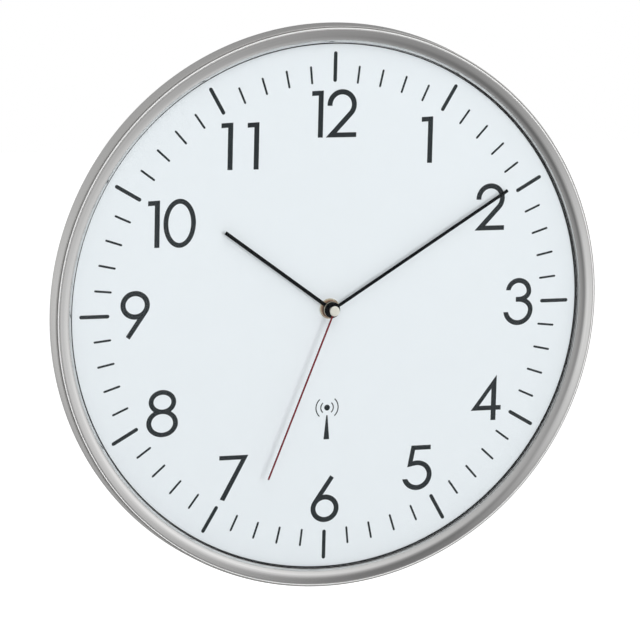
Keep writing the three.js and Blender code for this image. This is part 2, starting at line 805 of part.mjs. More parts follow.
// Soft-iron stator round a rotor at the origin, its coil core at the side.
function stator(side) {
  const outer = rectangle(-statorWidth / 2, statorWidth / 2, -coilLength / 2, coilLength / 2);
  const yoke = plate(outer, statorBack, statorFront);
  const legEnd = side * (coilOffset + statorLegWidth / 2);
  const reach = [Math.min(0, legEnd), Math.max(0, legEnd)];
  const legBottom = coilLength / 2 + seatGap + coilCheekThickness;
  const legs = [1, -1].map((sign) => {
    const near = sign * (coilLength / 2 - statorLegWidth / 2);
    const far = sign * (legBottom + statorLegWidth / 2);
    return block(reach[0], reach[1], Math.min(near, far), Math.max(near, far), statorBack, statorFront);
  });
  const coreLeft = side * coilOffset - statorLegWidth / 2;
  const core = block(coreLeft, coreLeft + statorLegWidth, -legBottom, legBottom, statorBack, statorFront);
  const clear = block(
    side * coilOffset - coilCheek - seatGap,
    side * coilOffset + coilCheek + seatGap,
    -legBottom + coilCheekThickness,
    legBottom - coilCheekThickness,
    statorBack - overcut,
    statorFront + overcut,
  );
  const body = cut(joined(yoke, ...legs), clear);
  const hole = drill(magnetRadius + rotorClearance, statorBack, statorFront);
  return cut(joined(body, core), hole);
}

// Winding on its bobbin, round the stator's core.
function coil(side) {
  const middle = (statorBack + statorFront) / 2;
  const half = coilLength / 2;
  const upright = (radius, bottom, top) => {
    const geometry = new THREE.CylinderGeometry(radius, radius, top - bottom, pinSides);
    geometry.rotateX(Math.PI / 2);
    geometry.translate(side * coilOffset, -wallDepth - middle, (bottom + top) / 2);
    return solid(geometry);
  };
  const winding = upright(coilRadius, -half, half);
  const lower = upright(coilCheek, -half, -half + coilCheekThickness);
  const upper = upright(coilCheek, half - coilCheekThickness, half);
  const slotHalf = statorLegWidth / 2 + pressGap;
  const coreSlot = block(
    side * coilOffset - slotHalf,
    side * coilOffset + slotHalf,
    -half - overcut,
    half + overcut,
    statorBack - pressGap,
    statorFront + pressGap,
  );
  return cut(joined(winding, lower, upper), coreSlot);
}

// Bearings and posts of the movement
const bearingBore = arborRadius + pressGap;
const pillarPlaces = [-1, 1].flatMap((side) =>
  [pillarBottom, pillarTop].map((up) => ({ x: side * pillarSpread, z: up })));
const boardPostSpread = innerHalfWidth - boardPostInset;
const boardPostLevels = [boardBottom + boardPostEdge, boardTop - boardPostEdge];
const boardPostPlaces = [-1, 1].flatMap((side) =>
  boardPostLevels.map((up) => ({ x: side * boardPostSpread, z: up })));

// Places in the battery bay
const houseBack = coverInside + pressGap;
const bayUp = (bayBottom + bayTop) / 2;
const bayHalf = bayWidth / 2;
const cellHeight = -wallDepth + cellRecess + cellRadius;
const bayFloorBack = cellHeight + cellRadius + pressGap;
const bayFloorFront = bayFloorBack + bayFloorThickness;
const contactLeft = bayHalf - pressGap - contactThickness;
const nubTip = contactLeft - pressGap;
const cellRight = nubTip - cellNubLength;
const cellLeft = cellRight - cellLength;

// The bay: its floor, the wall above it, its two ends and the rails that the cell lies between.
function bay(reach) {
  const floorTop = bayTop + bayFloorThickness;
  const wallBack = houseBack;
  const wallFront = bayFloorBack + weld;
  const foot = bayBottom - weld;
  const floor = block(-reach, reach, foot, floorTop, bayFloorBack, bayFloorFront);
  const partition = block(-reach, reach, bayTop, floorTop, wallBack, wallFront);
  const ends = [-bayHalf - bayFloorThickness, bayHalf].map((left) =>
    block(left, left + bayFloorThickness, foot, bayTop + weld, wallBack, wallFront));
  const left = cellLeft + cradleInset;
  const right = cellRight - cradleInset;
  const cradle = cut(
    block(left, right, foot, bayTop + weld, bayFloorBack - cradleRise, wallFront),
    lyingRod(cellRadius + seatGap, left - overcut, right + overcut, bayUp, cellHeight),
  );
  return joined(floor, partition, ...ends, cradle);
}

// The two saddles that hold the antenna rod.
function saddles() {
  const bottom = rodUp - saddleWidth / 2;
  const top = Math.min(rodUp + saddleWidth / 2, innerHalfHeight + weld);
  const pair = [-1, 1].map((side) => {
    const left = (side * saddleSpread) / 2 - saddleThickness / 2;
    return block(left, left + saddleThickness, bottom, top, -rodDepth, houseInside + weld);
  });
  const end = rodLength / 2 + overcut;
  return cut(joined(...pair), lyingRod(rodRadius + pressGap, -end, end, rodUp, -rodDepth));
}

// The tray that holds the movement, open at the back.
function base() {
  const outside = centredRectangle(houseWidth / 2, houseHeight / 2, houseCorner);
  const inside = centredRectangle(innerHalfWidth, innerHalfHeight, houseCorner - houseWall);
  const hollow = plate(inside, houseBack - overcut, houseInside);
  const tray = cut(plate(outside, houseBack, houseFront), hollow);
  const post = (radius, back, place) =>
    shifted(disc(radius, back, houseInside + weld, pinSides), place);
  const bearings = [minuteMidAxis, minuteRotorAxis];
  const posts = [
    ...pillarPlaces.map((place) => post(pillarRadius, middlePlateFront + pressGap, place)),
    ...boardPostPlaces.map((place) => post(boardPostRadius, boardFront + pressGap, place)),
    ...bearings.map((axis) => post(bearingBore + bearingWall, houseInside - pivotDepth, axis)),
    post(motionPostRadius, motionWheelBack - pinionOverhang, motionAxis),
  ];
  const bores = bearings.map((axis) =>
    shifted(disc(bearingBore, houseInside - pivotDepth - overcut, houseInside, pinSides), axis));
  const flangeSeatFront = houseInside + bushFlangeThickness + pressGap;
  const flangeSeat = disc(bushFlange + pressGap, houseInside - weld, flangeSeatFront);
  const body = joined(tray, bay(innerHalfWidth + weld), saddles(), ...posts);
  return cut(body, ...bores, drill(bushRadius + pressGap, houseInside, houseFront), flangeSeat);
}

const buttonPlaces = Array.from({ length: buttonCount }, (_, i) => ({
  x: (i - (buttonCount - 1) / 2) * buttonPitch,
  z: buttonUp,
}));

function cover() {
  const outside = centredRectangle(houseWidth / 2, houseHeight / 2, houseCorner);
  const lid = plate(outside, -wallDepth, coverInside);
  const mouthBack = -wallDepth - overcut;
  const mouth = block(-bayHalf, bayHalf, bayBottom, bayTop, mouthBack, coverInside + overcut);
  const hole = drill(buttonRadius + boreGap, -wallDepth, coverInside);
  return cut(lid, mouth, ...buttonPlaces.map((place) => shifted(hole, place)));
}

function button() {
  const face = -wallDepth + buttonRecess;
  const flangeStart = coverInside + pressGap;
  const tip = boardBack - buttonTravel - pressGap;
  const stem = disc(buttonRadius, face, tip, pinSides);
  return joined(stem, disc(buttonFlange, flangeStart, flangeStart + buttonFlangeThickness, pinSides));
}

// Outline of a plate that reaches a little past a number of places.
function plateOver(places, edge) {
  const across = places.map((place) => place.x);
  const up = places.map((place) => place.z);
  const left = Math.min(...across) - edge;
  const right = Math.max(...across) + edge;
  return roundedRectangle(left, right, Math.min(...up) - edge, Math.max(...up) + edge, plateCorner);
}

const bridgeBearings = [centre, secondsMidAxis, secondsRotorAxis, minuteRotorAxis];
const bridgePillars = [
  { x: secondsRotorAxis.x, z: secondsRotorAxis.z + leftPillarRise },
  { x: 0, z: minuteRotorAxis.z + upperPillarRise },
  { x: lowerPillarAcross, z: secondsMidAxis.z - lowerPillarDrop },
];

// Middle plate: carries the wheels of both trains, the pillars of the bridge and the stators.
function trainPlate() {
  const sheet = plate(plateOver(pillarPlaces, middlePlateEdge), middlePlateBack, middlePlateFront);
  const post = (radius, back, place) =>
    shifted(disc(radius, back, middlePlateBack + weld, pinSides), place);
  const pillars = bridgePillars.map((place) => post(pillarRadius, bridgeFront + pressGap, place));
  const motors = [
    { axis: secondsRotorAxis, side: -1 },
    { axis: minuteRotorAxis, side: 1 },
  ];
  const statorPosts = motors.flatMap(({ axis, side }) =>
    [-1, 1].map((sign) => {
      const x = axis.x + side * statorPostShift;
      return post(statorPostRadius, statorFront + pressGap, { x, z: axis.z + sign * statorPostSpread });
    }));
  const bore = (radius, axis) =>
    shifted(drill(radius, middlePlateBack, middlePlateFront, pinSides), axis);
  const bearings = [centre, minuteMidAxis, secondsMidAxis, secondsRotorAxis];
  return cut(
    joined(sheet, ...pillars, ...statorPosts),
    ...bearings.map((axis) => bore(bearingBore, axis)),
    bore(passingBore, minuteRotorAxis),
  );
}

function bridge() {
  const outline = plateOver([...bridgeBearings, ...bridgePillars], bridgeEdge);
  const bore = drill(bearingBore, bridgeBack, bridgeFront, pinSides);
  return cut(
    plate(outline, bridgeBack, bridgeFront),
    ...bridgeBearings.map((axis) => shifted(bore, axis)),
  );
}

function board() {
  return block(-boardWidth / 2, boardWidth / 2, boardBottom, boardTop, boardBack, boardFront);
}

function chip() {
  const half = chipSize / 2;
  const back = boardFront + pressGap;
  return block(-half, half, chipUp - half, chipUp + half, back, back + chipHeight);
}

function crystal() {
  const height = boardFront + pressGap + crystalRadius;
  const right = crystalLeft + crystalLength;
  return lyingRod(crystalRadius, crystalLeft, right, crystalUp, height, pinSides);
}

const antennaRod = () => lyingRod(rodRadius, -rodLength / 2, rodLength / 2, rodUp, -rodDepth);
function antennaCoil() {
  const half = antennaCoilLength / 2;
  const inner = rodRadius + pressGap;
  const outside = lyingRod(inner + antennaCoilWall, -half, half, rodUp, -rodDepth);
  return cut(outside, lyingRod(inner, -half - overcut, half + overcut, rodUp, -rodDepth));
}

// Cell, with the contact plate at its right end and the leaf at its left end
function battery() {
  const body = lyingRod(cellRadius, cellLeft, cellRight, bayUp, cellHeight);
  const nub = lyingRod(cellNubRadius, cellRight - weld, nubTip, bayUp, cellHeight, pinSides);
  return joined(body, nub);
}

function contactPlate() {
  const half = contactWidth / 2;
  const right = contactLeft + contactThickness;
  return block(contactLeft, right, bayUp - half, bayUp + half, cellHeight - half, cellHeight + half);
}

// Outline of a bent strip of sheet metal along a line of points.
function strip(points, thickness) {
  const sides = [[], []];
  points.forEach(([x, z], i) => {
    const before = points[Math.max(i - 1, 0)];
    const after = points[Math.min(i + 1, points.length - 1)];
    const run = new THREE.Vector2(after[0] - before[0], after[1] - before[1]).normalize();
    const across = new THREE.Vector2(-run.y, run.x).multiplyScalar(thickness / 2);
    const middle = new THREE.Vector2(x, z);
    sides[0].push(middle.clone().add(across));
    sides[1].unshift(middle.clone().sub(across));
  });
  return new THREE.Shape([...sides[0], ...sides[1]]);
}

// The leaf stands on the end wall, bows out to the cell and comes back.
function contactLeaf() {
  const half = contactWidth / 2;
  const foot = -bayHalf + pressGap + contactThickness / 2;
  const crest = cellLeft - pressGap - contactThickness / 2;
  const points = [
    [foot, bayUp - half],
    [foot, bayUp + half],
    [(foot + crest) / 2, bayUp + half],
    [crest, bayUp + half / 2],
    [crest, bayUp - half / 2],
    [crest - contactCurl, bayUp - half + contactTail],
  ];
  return plate(strip(points, contactThickness), cellHeight - half, cellHeight + half);
}

const washerBore = bushRadius + pressGap;
const rubber = () => tube(washerBore, rubberRadius, houseFront + pressGap, dialBack - pressGap);
const washer = () => tube(washerBore, washerRadius, pressGap, pressGap + washerThickness);

// Rim, glass, dial and rear case
add(clock, "outer_drum", drum(), drumMetal);
add(clock, "bezel", bezel(), satinMetal);
add(clock, "bezel_frame", frame(), framePlastic);
add(clock, "glass", glass(), clearGlass);
add(clock, "glass_gasket", gasket(), blackRubber);
add(clock, "dial", dial(), dialWhite);
add(clock, "rear_case", rearCase(), casePlastic);
screwAxes.forEach((axis, i) => {
  add(axisGroup(axis), `case_screw_${i + 1}`, screw(), screwSteel);
});

// Fixing of the movement to the dial
add(clock, "threaded_bush", bush(), brass);
add(clock, "rubber_washer", rubber(), blackRubber);
add(clock, "brass_washer", washer(), brass);
add(clock, "fixing_nut", nut(), brass);

// Hands
const hourBlade = hand(hourLength, hourWidth, hourHeight, handBoss, hourPipe + handPipeGap);
const minuteBlade = hand(minuteLength, minuteWidth, minuteHeight, handBoss, minutePipe + handPipeGap);
add(turnedGroup(hourAngle), "hour_hand", hourBlade, handBlack);
add(turnedGroup(minuteAngle), "minute_hand", minuteBlade, handBlack);
const secondGroup = turnedGroup(secondAngle);
add(secondGroup, "second_hand", secondHand(), handRed);
add(secondGroup, "second_cap", cap(), capMetal);

// Wheels
const minutePinionBack = motionWheelBack - pinionOverhang;
const minutePinionFront = motionWheelFront + pinionOverhang;
const secondsPinionBack = secondsMidBack - pinionOverhang;
const secondsPinionFront = secondsMidFront + pinionOverhang;
const minuteArborFront = houseInside - pressGap;
const secondsArborFront = middlePlateBack + pivotDepth;
const minuteRotor = rotor(minuteRotorPhase, minutePinionBack, minutePinionFront, minuteArborFront);
const secondsRotor = rotor(secondsRotorPhase, secondsPinionBack, secondsPinionFront, secondsArborFront);
add(clock, "hour_wheel", hourWheel(), wheelPlastic);
add(clock, "centre_wheel", centreWheel(), wheelPlastic);
add(clock, "seconds_wheel", secondsWheel(), wheelPlastic);
add(axisGroup(motionAxis), "motion_wheel", motionWheel(), wheelPlastic);
add(axisGroup(minuteMidAxis), "minute_mid_wheel", minuteMid(), wheelPlastic);
add(axisGroup(secondsMidAxis), "seconds_mid_wheel", secondsMid(), wheelPlastic);
add(axisGroup(minuteRotorAxis), "minute_rotor", minuteRotor, ferriteGrey);
add(axisGroup(secondsRotorAxis), "seconds_rotor", secondsRotor, ferriteGrey);

// Motors
add(axisGroup(minuteRotorAxis), "minute_stator", stator(1), statorSteel);
add(axisGroup(minuteRotorAxis), "minute_coil", coil(1), copperWire);
add(axisGroup(secondsRotorAxis), "seconds_stator", stator(-1), statorSteel);
add(axisGroup(secondsRotorAxis), "seconds_coil", coil(-1), copperWire);

// Housing, plates, electronics and battery
add(clock, "movement_base", base(), movementPlastic);
add(clock, "movement_cover", cover(), movementPlastic);
add(clock, "middle_plate", trainPlate(), movementPlastic);
add(clock, "train_bridge", bridge(), movementPlastic);
add(clock, "circuit_board", board(), boardGreen);
add(clock, "decoder_chip", chip(), chipBlack);
add(clock, "crystal", crystal(), contactSteel);
add(clock, "antenna_rod", antennaRod(), ferriteGrey);
add(clock, "antenna_coil", antennaCoil(), copperWire);
add(clock, "battery", battery(), cellGrey);
add(clock, "contact_plate", contactPlate(), contactSteel);
add(clock, "contact_leaf", contactLeaf(), contactSteel);
buttonPlaces.forEach((place, i) => {
  add(axisGroup(place), `button_${i + 1}`, button(), buttonPlastic);
});

export default clock;
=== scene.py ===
import json
import math

import bmesh
import bpy
from mathutils import Matrix, Vector

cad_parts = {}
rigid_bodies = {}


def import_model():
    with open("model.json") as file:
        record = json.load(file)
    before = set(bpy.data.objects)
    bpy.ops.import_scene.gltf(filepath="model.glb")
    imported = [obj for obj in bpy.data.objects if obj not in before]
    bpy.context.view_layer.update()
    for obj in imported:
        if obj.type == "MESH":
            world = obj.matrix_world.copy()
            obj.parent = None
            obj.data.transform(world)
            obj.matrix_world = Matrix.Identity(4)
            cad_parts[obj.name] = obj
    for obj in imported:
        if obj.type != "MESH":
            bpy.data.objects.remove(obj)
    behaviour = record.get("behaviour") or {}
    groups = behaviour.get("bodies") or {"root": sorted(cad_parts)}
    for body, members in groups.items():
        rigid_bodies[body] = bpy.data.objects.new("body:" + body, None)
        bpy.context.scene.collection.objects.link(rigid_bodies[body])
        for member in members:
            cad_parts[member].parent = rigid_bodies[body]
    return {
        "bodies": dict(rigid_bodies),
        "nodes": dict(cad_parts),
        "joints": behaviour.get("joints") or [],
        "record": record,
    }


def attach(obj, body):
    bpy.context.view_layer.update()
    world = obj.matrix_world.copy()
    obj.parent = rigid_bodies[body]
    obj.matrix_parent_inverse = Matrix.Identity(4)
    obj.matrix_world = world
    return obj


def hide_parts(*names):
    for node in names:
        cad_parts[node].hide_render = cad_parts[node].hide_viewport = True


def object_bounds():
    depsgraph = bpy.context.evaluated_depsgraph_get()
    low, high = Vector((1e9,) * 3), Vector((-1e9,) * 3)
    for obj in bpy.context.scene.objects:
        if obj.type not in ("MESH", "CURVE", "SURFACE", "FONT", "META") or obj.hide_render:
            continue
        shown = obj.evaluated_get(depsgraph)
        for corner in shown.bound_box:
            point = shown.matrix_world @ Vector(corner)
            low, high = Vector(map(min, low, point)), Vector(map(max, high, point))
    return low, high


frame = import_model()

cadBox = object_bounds()
nodes = frame["nodes"]
mm = 0.001
dialFace = -0.024  # the printed face of the dial; heights are in mm from it, towards the viewer
print("frame loaded:", len(nodes), "nodes")


class Wire:
    # a node's output, which takes sums and products
    def __init__(self, finish, socket):
        self.finish, self.socket = finish, socket

    def maths(self, operation, *values):
        return self.finish.node("ShaderNodeMath", {"operation": operation}, dict(enumerate(values)))

    def __add__(self, other):
        return self.maths("ADD", self, other)

    def __sub__(self, other):
        return self.maths("SUBTRACT", self, other)

    def __rsub__(self, other):
        return self.maths("SUBTRACT", other, self)

    def __mul__(self, other):
        return self.maths("MULTIPLY", self, other)

    __radd__, __rmul__ = __add__, __mul__


class Finish:
    def __init__(self, name, **fixed):
        self.material = bpy.data.materials.new(name)
        self.material.use_nodes = True
        self.tree = self.material.node_tree
        self.tree.nodes.clear()
        self.output = self.tree.nodes.new("ShaderNodeOutputMaterial")
        self.shader = self.tree.nodes.new("ShaderNodeBsdfPrincipled")
        self.tree.links.new(self.shader.outputs[0], self.output.inputs[0])
        for socket, value in fixed.items():
            self.set(self.shader, socket, value)

    def set(self, node, socket, value):
        target = node.inputs[socket]
        if isinstance(value, Wire):
            self.tree.links.new(value.socket, target)
        elif hasattr(target.default_value, "__len__") and len(value) < len(target.default_value):
            target.default_value = (*value, 1)
        else:
            target.default_value = value

    def node(self, kind, settings=None, sockets=None, output=0):
        made = self.tree.nodes.new(kind)
        for name, value in (settings or {}).items():
            if name == "stops":  # a ramp has two stops from the start
                for place, colour in value[2:]:
                    made.color_ramp.elements.new(place)
                for element, (place, colour) in zip(made.color_ramp.elements, sorted(value)):
                    element.position, element.color = place, (*colour, 1)
            else:
                setattr(made, name, value)
        for socket, value in (sockets or {}).items():
            self.set(made, socket, value)
        return Wire(self, made.outputs[output])

    def here(self):
        return self.node("ShaderNodeTexCoord", output="Object")

    def axes(self, vector):
        split = self.node("ShaderNodeSeparateXYZ", {}, {0: vector}).socket.node
        return [Wire(self, split.outputs[axis]) for axis in range(3)]

    def noise(self, size, detail=3, vector=None):
        sockets = {"Vector": vector or self.here(), "Scale": 1 / size, "Detail": detail}
        return self.node("ShaderNodeTexNoise", {}, sockets)

    def between(self, amount, low, high):
        return self.node("ShaderNodeMapRange", {}, {"Value": amount, "To Min": low, "To Max": high})

    def blend(self, amount, first, second):
        return self.node("ShaderNodeMix", {"data_type": "RGBA"}, {0: amount, 6: first, 7: second}, output=2)

    def bump(self, height, depth):
        bumped = self.node("ShaderNodeBump", {}, {"Height": height, "Distance": depth})
        self.set(self.shader, "Normal", bumped)

    def paint(self, **sockets):
        for socket, value in sockets.items():
            self.set(self.shader, socket.replace("_", " "), value)
        return self.material


def shade(colour, factor):
    return tuple(min(1, part * factor) for part in colour)


def turnedMetal(name, colour, rough=0.32, grainSize=0.35, grainDepth=0.01, tone=0.06, metallic=1.0):
    # turned round the hand axis: the grain runs in circles and drifts slowly with the height
    finish = Finish(name, **{"Metallic": metallic, "IOR": 1.5})
    across, deep, along = finish.axes(finish.here())
    squared = across * across + along * along
    radius = squared.maths("SQRT", squared)
    fine, drift = 1 / mm, 6
    rings = finish.node("ShaderNodeCombineXYZ", {}, {0: radius * fine, 1: deep * fine, 2: along * drift})
    grain = finish.noise(grainSize, 4, rings)
    cloud = finish.noise(22 * mm, 2)
    colourNow = finish.blend(finish.between(grain, -0.2, 1.2), shade(colour, 1 - tone), shade(colour, 1 + tone))
    finish.bump(grain, grainDepth * mm)
    return finish.paint(Base_Color=colourNow, Roughness=finish.between(cloud, rough - 0.03, rough + 0.04))


def plainMetal(name, colour, rough=0.3, grainSize=0.6, depth=0.004):
    finish = Finish(name, **{"Metallic": 1.0})
    grain = finish.noise(grainSize * mm, 4)
    cloud = finish.noise(9 * mm, 2)
    colourNow = finish.blend(cloud, shade(colour, 0.94), shade(colour, 1.05))
    finish.bump(grain, depth * mm)
    return finish.paint(Base_Color=colourNow, Roughness=finish.between(grain, rough - 0.05, rough + 0.08))


def moulded(name, colour, rough=0.5, grainSize=0.5, depth=0.02, tone=0.04, shine=0.5):
    finish = Finish(name, **{"IOR": 1.5, "Specular IOR Level": shine})
    grain = finish.noise(grainSize * mm, 3)
    cloud = finish.noise(14 * mm, 2)
    colourNow = finish.blend(cloud, shade(colour, 1 - tone), shade(colour, 1 + tone))
    finish.bump(grain, depth * mm)
    return finish.paint(Base_Color=colourNow, Roughness=finish.between(grain, rough - 0.06, rough + 0.06))


def clearGlass(name):
    finish = Finish(name, **{"Transmission Weight": 1.0, "IOR": 1.2, "Base Color": (0.995, 0.998, 0.998)})
    haze = finish.noise(60 * mm, 2)
    finish.paint(Roughness=finish.between(haze, 0.0, 0.015))
    clear = finish.node("ShaderNodeBsdfTransparent", {}, {"Color": (0.985, 0.99, 0.99)})
    path = finish.node("ShaderNodeLightPath").socket.node
    looking = Wire(finish, path.outputs["Is Camera Ray"]) + Wire(finish, path.outputs["Is Transmission Ray"])
    bends = looking.maths("MINIMUM", looking, 1.0)  # light for the dial goes straight through
    both = finish.node("ShaderNodeMixShader", {}, {0: bends, 1: clear, 2: Wire(finish, finish.shader.outputs[0])})
    finish.set(finish.output, "Surface", both)
    return finish.material


def woundCopper(name, colour):
    finish = Finish(name, **{"Metallic": 1.0})
    turns = finish.node("ShaderNodeTexWave", {"wave_type": "BANDS", "bands_direction": "Z"},
                        {"Vector": finish.here(), "Scale": 1500, "Distortion": 0.3})
    finish.bump(turns, 0.05 * mm)
    # the copper is painted darker in the grooves between the turns, where the bump is low: painted shade
    colourNow = finish.blend(turns, shade(colour, 0.55), colour)
    return finish.paint(Base_Color=colourNow, Roughness=finish.between(turns, 0.42, 0.3))


def printedFoil(name, left, right, foil):
    # dark over most of the cell, then a fine line and a pale band at the plus end
    finish = Finish(name, **{"IOR": 1.5, "Coat Roughness": 0.08})
    across = finish.axes(finish.here())[0]
    run = finish.node("ShaderNodeMapRange", {}, {"Value": across, "From Min": left * mm, "From Max": right * mm})
    bands = [(0.0, foil["dark"]), (1.0, foil["pale"]), (foil["lineFrom"] - foil["soft"], foil["dark"]),
             (foil["lineFrom"], foil["line"]), (foil["lineTo"], foil["line"]),
             (foil["lineTo"] + foil["soft"], foil["pale"])]
    printed = finish.node("ShaderNodeValToRGB", {"stops": bands}, {0: run})
    cloud = finish.noise(6 * mm, 3)
    finish.bump(cloud, 0.01 * mm)
    colourNow = finish.blend(finish.between(cloud, 0, 0.1), printed, foil["wear"])
    return finish.paint(Base_Color=colourNow, Roughness=finish.between(cloud, 0.22, 0.32))


finishes = {  # one for each material slot of the solids
    "bezel_metal": turnedMetal("satinBezel", (0.70, 0.696, 0.691), 0.16),
    "drum_metal": turnedMetal("satinDrum", (0.66, 0.654, 0.643), 0.22),
    "frame_plastic": moulded("framePlastic", (0.16, 0.16, 0.17)),
    "clear_glass": clearGlass("domeGlass"),
    "black_rubber": moulded("blackRubber", (0.006, 0.006, 0.007), 0.6, 0.3, 0.01, shine=0.25),
    "dial_white": moulded("dialWhite", (0.78, 0.822, 0.853), 0.55, 0.25, 0.002, 0.008),
    "case_plastic": moulded("casePlastic", (0.62, 0.62, 0.61), 0.5, 0.35, 0.02),
    "brass": turnedMetal("turnedBrass", (0.86, 0.80, 0.63), 0.24, 0.12, metallic=0.7),
    "hand_black": moulded("handLacquer", (0.002, 0.003, 0.004), 0.35, 0.8, 0.002, shine=0.05),
    "hand_red": moulded("redLacquer", (0.16, 0.010, 0.018), 0.35, 0.8, 0.002, shine=0.3),
    "cap_metal": turnedMetal("capMetal", (0.88, 0.865, 0.775), 0.3, 0.1, metallic=0.5),
    "wheel_plastic": moulded("acetalWheel", (0.82, 0.79, 0.70), 0.38, 0.4, 0.004),
    "rotor_magnet": moulded("sinteredMagnet", (0.05, 0.05, 0.055), 0.5, 0.2, 0.02),
    "stator_steel": plainMetal("statorSteel", (0.5, 0.51, 0.52), 0.38),
    "copper_wire": woundCopper("copperWinding", (0.72, 0.34, 0.16)),
    "movement_plastic": moulded("movementPlastic", (0.035, 0.037, 0.041), 0.45, 0.35, 0.02),
    "board_green": moulded("solderMask", (0.02, 0.13, 0.06), 0.3, 0.8, 0.004, 0.15),
    "chip_black": moulded("chipResin", (0.025, 0.027, 0.03), 0.55, 0.15, 0.01),
    "ferrite": moulded("ferriteRod", (0.045, 0.045, 0.05), 0.6, 0.2, 0.03),
    "cell_label": moulded("cellSleeve", (0.08, 0.1, 0.11), 0.28, 1.0, 0.004),
    "contact_steel": plainMetal("nickelContact", (0.72, 0.73, 0.74), 0.22),
    "button_plastic": moulded("buttonPlastic", (0.78, 0.78, 0.76), 0.35, 0.4, 0.004),
    "screw_steel": plainMetal("zincScrew", (0.56, 0.57, 0.58), 0.32),
}
for name, node in nodes.items():
    slot = node.data.materials[0].name if node.data.materials else ""
    if slot in finishes:
        node.data.materials.clear()
        node.data.materials.append(finishes[slot])
    else:
        print("no finish for", name, slot)
# finishes of single pieces
finishes["ink"] = moulded("dialInk", (0.018, 0.023, 0.026), 0.5, 0.2, 0.001, 0.12, shine=0.25)
# a white, not metal, finish for the ring that stands for the highlight on the bezel's rolled edge: a painted highlight
finishes["bead"] = turnedMetal("paintedHighlightWhite", (0.96, 0.96, 0.955), 0.3, metallic=0.0)
# a dark grey finish for the ring that stands for the shade in the gap between the bezel and the drum: painted shade
finishes["seam"] = moulded("paintedGapShadeGrey", (0.2, 0.195, 0.187), 0.6, shine=0.1)
finishes["nut"] = turnedMetal("copperNut", (0.40, 0.255, 0.185), 0.2, 0.12)
finishes["paint"] = moulded("palePaint", (0.72, 0.72, 0.7), 0.6, 0.3, 0.005)
print("finishes ready:", len(finishes))


def finished(name, shape, slot, body="case", stands=(), sharp=35, ink=None):
    # the ink is a finish of this piece's own, and the slot the one it stands under in the record
    mesh = bpy.data.meshes.new(name)
    shape.to_mesh(mesh)
    shape.free()
    mesh.shade_smooth()
    mesh.set_sharp_from_angle(angle=math.radians(sharp))
    mesh.materials.append(finishes[ink or slot])
    piece = bpy.data.objects.new(name, mesh)
    bpy.context.scene.collection.objects.link(piece)
    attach(piece, body)
    if stands:
        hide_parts(*stands)
    return piece


def turned(section, steps=192, around=(0, 0), closed=True):
    # spins (radius, height) points about an axis that stands on the dial
    shape = bmesh.new()
    corners = [shape.verts.new((radius * mm, dialFace - height * mm, 0)) for radius, height in section]
    onAxis = section[0][0] == 0 and section[-1][0] == 0
    pairs = list(zip(corners, corners[1:])) + ([] if onAxis or not closed else [(corners[-1], corners[0])])
    edges = [shape.edges.new(pair) for pair in pairs]
    bmesh.ops.spin(shape, geom=corners + edges, cent=(0, 0, 0), axis=(0, -1, 0), angle=math.tau, steps=steps,
                   use_merge=True)
    bmesh.ops.remove_doubles(shape, verts=shape.verts, dist=1e-6)
    bmesh.ops.recalc_face_normals(shape, faces=shape.faces)
    bmesh.ops.translate(shape, vec=(around[0] * mm, 0, around[1] * mm), verts=shape.verts)
    return shape


def ringSection(inner, outer, back, front):
    return [(inner, back), (outer, back), (outer, front), (inner, front)]


def rounded(shape, width, least=40, segments=2, keep=lambda edge: True):
    # rounds the edges whose faces meet at more than the least angle
    edges = [edge for edge in shape.edges
             if len(edge.link_faces) == 2 and edge.calc_face_angle(0) > math.radians(least) and keep(edge)]
    bmesh.ops.bevel(shape, geom=edges, offset=width * mm, segments=segments, profile=0.5, material=-1,
                    affect="EDGES", clamp_overlap=True)
    return shape


def bow(centre, radii, start, end, steps=24):
    # points of an elliptical bow, degrees anticlockwise from the right
    angles = [math.radians(start + (end - start) * step / steps) for step in range(steps + 1)]
    return [(centre[0] + radii[0] * math.cos(angle), centre[1] + radii[1] * math.sin(angle)) for angle in angles]


def slab(loops, back, front):
    # a flat outline with its holes, x to the right and z up, given a thickness
    curve = bpy.data.curves.new("outline", "CURVE")
    curve.dimensions = "2D"
    curve.fill_mode = "BOTH"
    for loop in loops:
        spline = curve.splines.new("POLY")
        spline.points.add(len(loop) - 1)
        for point, (x, z) in zip(spline.points, loop):
            point.co = (x * mm, z * mm, 0, 1)
        spline.use_cyclic_u = True
    curve.extrude = (front - back) / 2 * mm
    holder = bpy.data.objects.new("outline", curve)
    bpy.context.scene.collection.objects.link(holder)
    mesh = bpy.data.meshes.new_from_object(holder.evaluated_get(bpy.context.evaluated_depsgraph_get()))
    shape = bmesh.new()
    shape.from_mesh(mesh)
    bpy.data.objects.remove(holder)
    bpy.data.curves.remove(curve)
    bpy.data.meshes.remove(mesh)
    bmesh.ops.remove_doubles(shape, verts=shape.verts, dist=1e-7)
    upright = Matrix.Rotation(math.radians(90), 3, "X")
    bmesh.ops.rotate(shape, cent=(0, 0, 0), matrix=upright, verts=shape.verts)
    bmesh.ops.translate(shape, vec=(0, dialFace - (front + back) / 2 * mm, 0), verts=shape.verts)
    bmesh.ops.recalc_face_normals(shape, faces=shape.faces)
    return shape


def together(*shapes):
    whole = bmesh.new()
    for shape in shapes:
        mesh = bpy.data.meshes.new("part")
        shape.to_mesh(mesh)
        shape.free()
        whole.from_mesh(mesh)
        bpy.data.meshes.remove(mesh)
    return whole


def clockTurn(shape, degrees):
    # turns a shape that points to twelve, clockwise as seen from the front
    turn = Matrix.Rotation(math.radians(degrees), 3, "Y")
    bmesh.ops.rotate(shape, cent=(0, 0, 0), matrix=turn, verts=shape.verts)
    return shape


